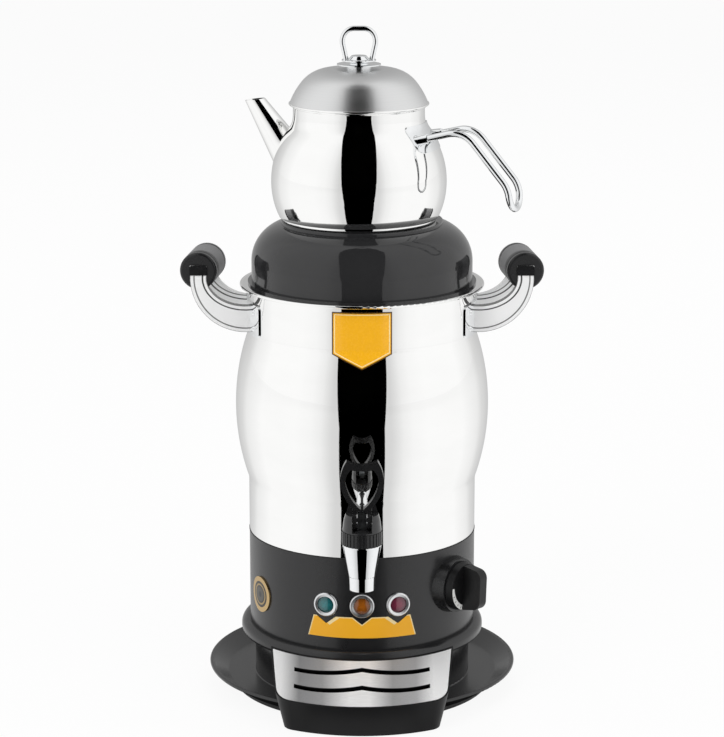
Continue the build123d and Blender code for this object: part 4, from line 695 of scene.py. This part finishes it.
world = bpy.data.worlds.new("studio")
scene.world = world
world.use_nodes = True
sky = world.node_tree
sky.nodes.clear()
ray = add(sky, "ShaderNodeLightPath")
bearing_level = studio_level(sky, add(sky, "ShaderNodeTexCoord").outputs["Generated"])
fill = add(sky, "ShaderNodeBackground", inputs={"Color": linear("#FFFFFF"), "Strength": SKY_FILL})
mirrored = add(sky, "ShaderNodeBackground", inputs={"Color": bearing_level, "Strength": 1.0})
seen = add(sky, "ShaderNodeBackground", inputs={"Color": linear("#FFFFFF"), "Strength": 1.0})
lit = add(sky, "ShaderNodeMixShader", inputs={
    0: ray.outputs["Is Glossy Ray"], 1: fill.outputs[0], 2: mirrored.outputs[0]})
through = add(sky, "ShaderNodeMath", {"operation": "MAXIMUM"}, {
    0: ray.outputs["Is Camera Ray"], 1: ray.outputs["Is Transmission Ray"]})
backdrop = add(sky, "ShaderNodeMixShader", inputs={
    0: through.outputs[0], 1: lit.outputs[0], 2: seen.outputs[0]})
add(sky, "ShaderNodeOutputWorld", inputs={"Surface": backdrop.outputs[0]})


def mirrored_only(card):
    """Hide a card from everything but reflections."""
    for kind in ("camera", "diffuse", "shadow", "transmission"):
        setattr(card, "visible_" + kind, False)
    return card


def floor_finish():
    """White painted floor: mostly its own white in view and in mirrors, and it keeps a soft shadow."""
    material, tree, shader = start("floor_white_paint", Roughness=0.5, Base_Color=linear("#F2F2F2"))
    output = tree.nodes["Material Output"]
    path = add(tree, "ShaderNodeLightPath")
    glow = add(tree, "ShaderNodeEmission", inputs={
        "Color": studio_level(tree, place_of(tree)), "Strength": 1.0})
    white = add(tree, "ShaderNodeEmission", inputs={"Color": linear("#FFFFFF"), "Strength": 1.0})
    in_mirror = add(tree, "ShaderNodeMath", {"operation": "MULTIPLY"}, {
        0: path.outputs["Is Glossy Ray"], 1: FLOOR_SHARE_IN_MIRRORS})
    in_view = add(tree, "ShaderNodeMath", {"operation": "MULTIPLY"}, {
        0: path.outputs["Is Camera Ray"], 1: FLOOR_SHARE_IN_VIEW})
    reflected = add(tree, "ShaderNodeMixShader", inputs={
        0: in_mirror.outputs[0], 1: shader.outputs["BSDF"], 2: glow.outputs[0]})
    shown = add(tree, "ShaderNodeMixShader", inputs={
        0: in_view.outputs[0], 1: reflected.outputs[0], 2: white.outputs[0]})
    tree.links.new(shown.outputs[0], output.inputs["Surface"])
    return material


floor = mesh_object("floor", [(x, y, 0) for x, y in (
    (-FLOOR_HALF, -FLOOR_HALF), (FLOOR_HALF, -FLOOR_HALF), (FLOOR_HALF, FLOOR_HALF), (-FLOOR_HALF, FLOOR_HALF))],
    [(0, 1, 2, 3)], floor_finish())


def strip_card():
    """A tall black card in front and its run along the floor, which only mirrors see."""
    material, tree, shader = start("card_black_velvet", Roughness=0.9, Base_Color=linear("#000000"))
    shader.inputs["Specular IOR Level"].default_value = 0.0
    steps = 24
    points = []
    for reach, height, half_angle in STRIP_ROWS:
        for step in range(steps + 1):
            turn = radians(half_angle) * (2 * step / steps - 1)
            points += [(reach * sin(turn), -reach * cos(turn), height)]
    width = steps + 1
    faces = [(row * width + step, row * width + step + 1, (row + 1) * width + step + 1, (row + 1) * width + step)
             for row in range(len(STRIP_ROWS) - 1) for step in range(steps)]
    return mirrored_only(mesh_object("strip_card", points, faces, material))


strip_card()


def area_lamp(name, place, aim, size, power):
    """A soft lamp that lights but isn't mirrored."""
    data = bpy.data.lights.new(name, "AREA")
    data.size = size
    data.energy = power
    lamp = bpy.data.objects.new(name, data)
    lamp.location = place
    lamp.rotation_euler = (Vector(aim) - Vector(place)).to_track_quat("-Z", "Y").to_euler()
    lamp.visible_glossy = False
    scene.collection.objects.link(lamp)


area_lamp("key", (-1.6, -2.2, 2.6), (0, 0, 0.25), 1.6, 38)
area_lamp("fill", (2.0, -1.6, 1.6), (0, 0, 0.25), 1.8, 18)
area_lamp("back", (0.4, 2.2, 2.4), (0, 0, 0.3), 1.6, 20)
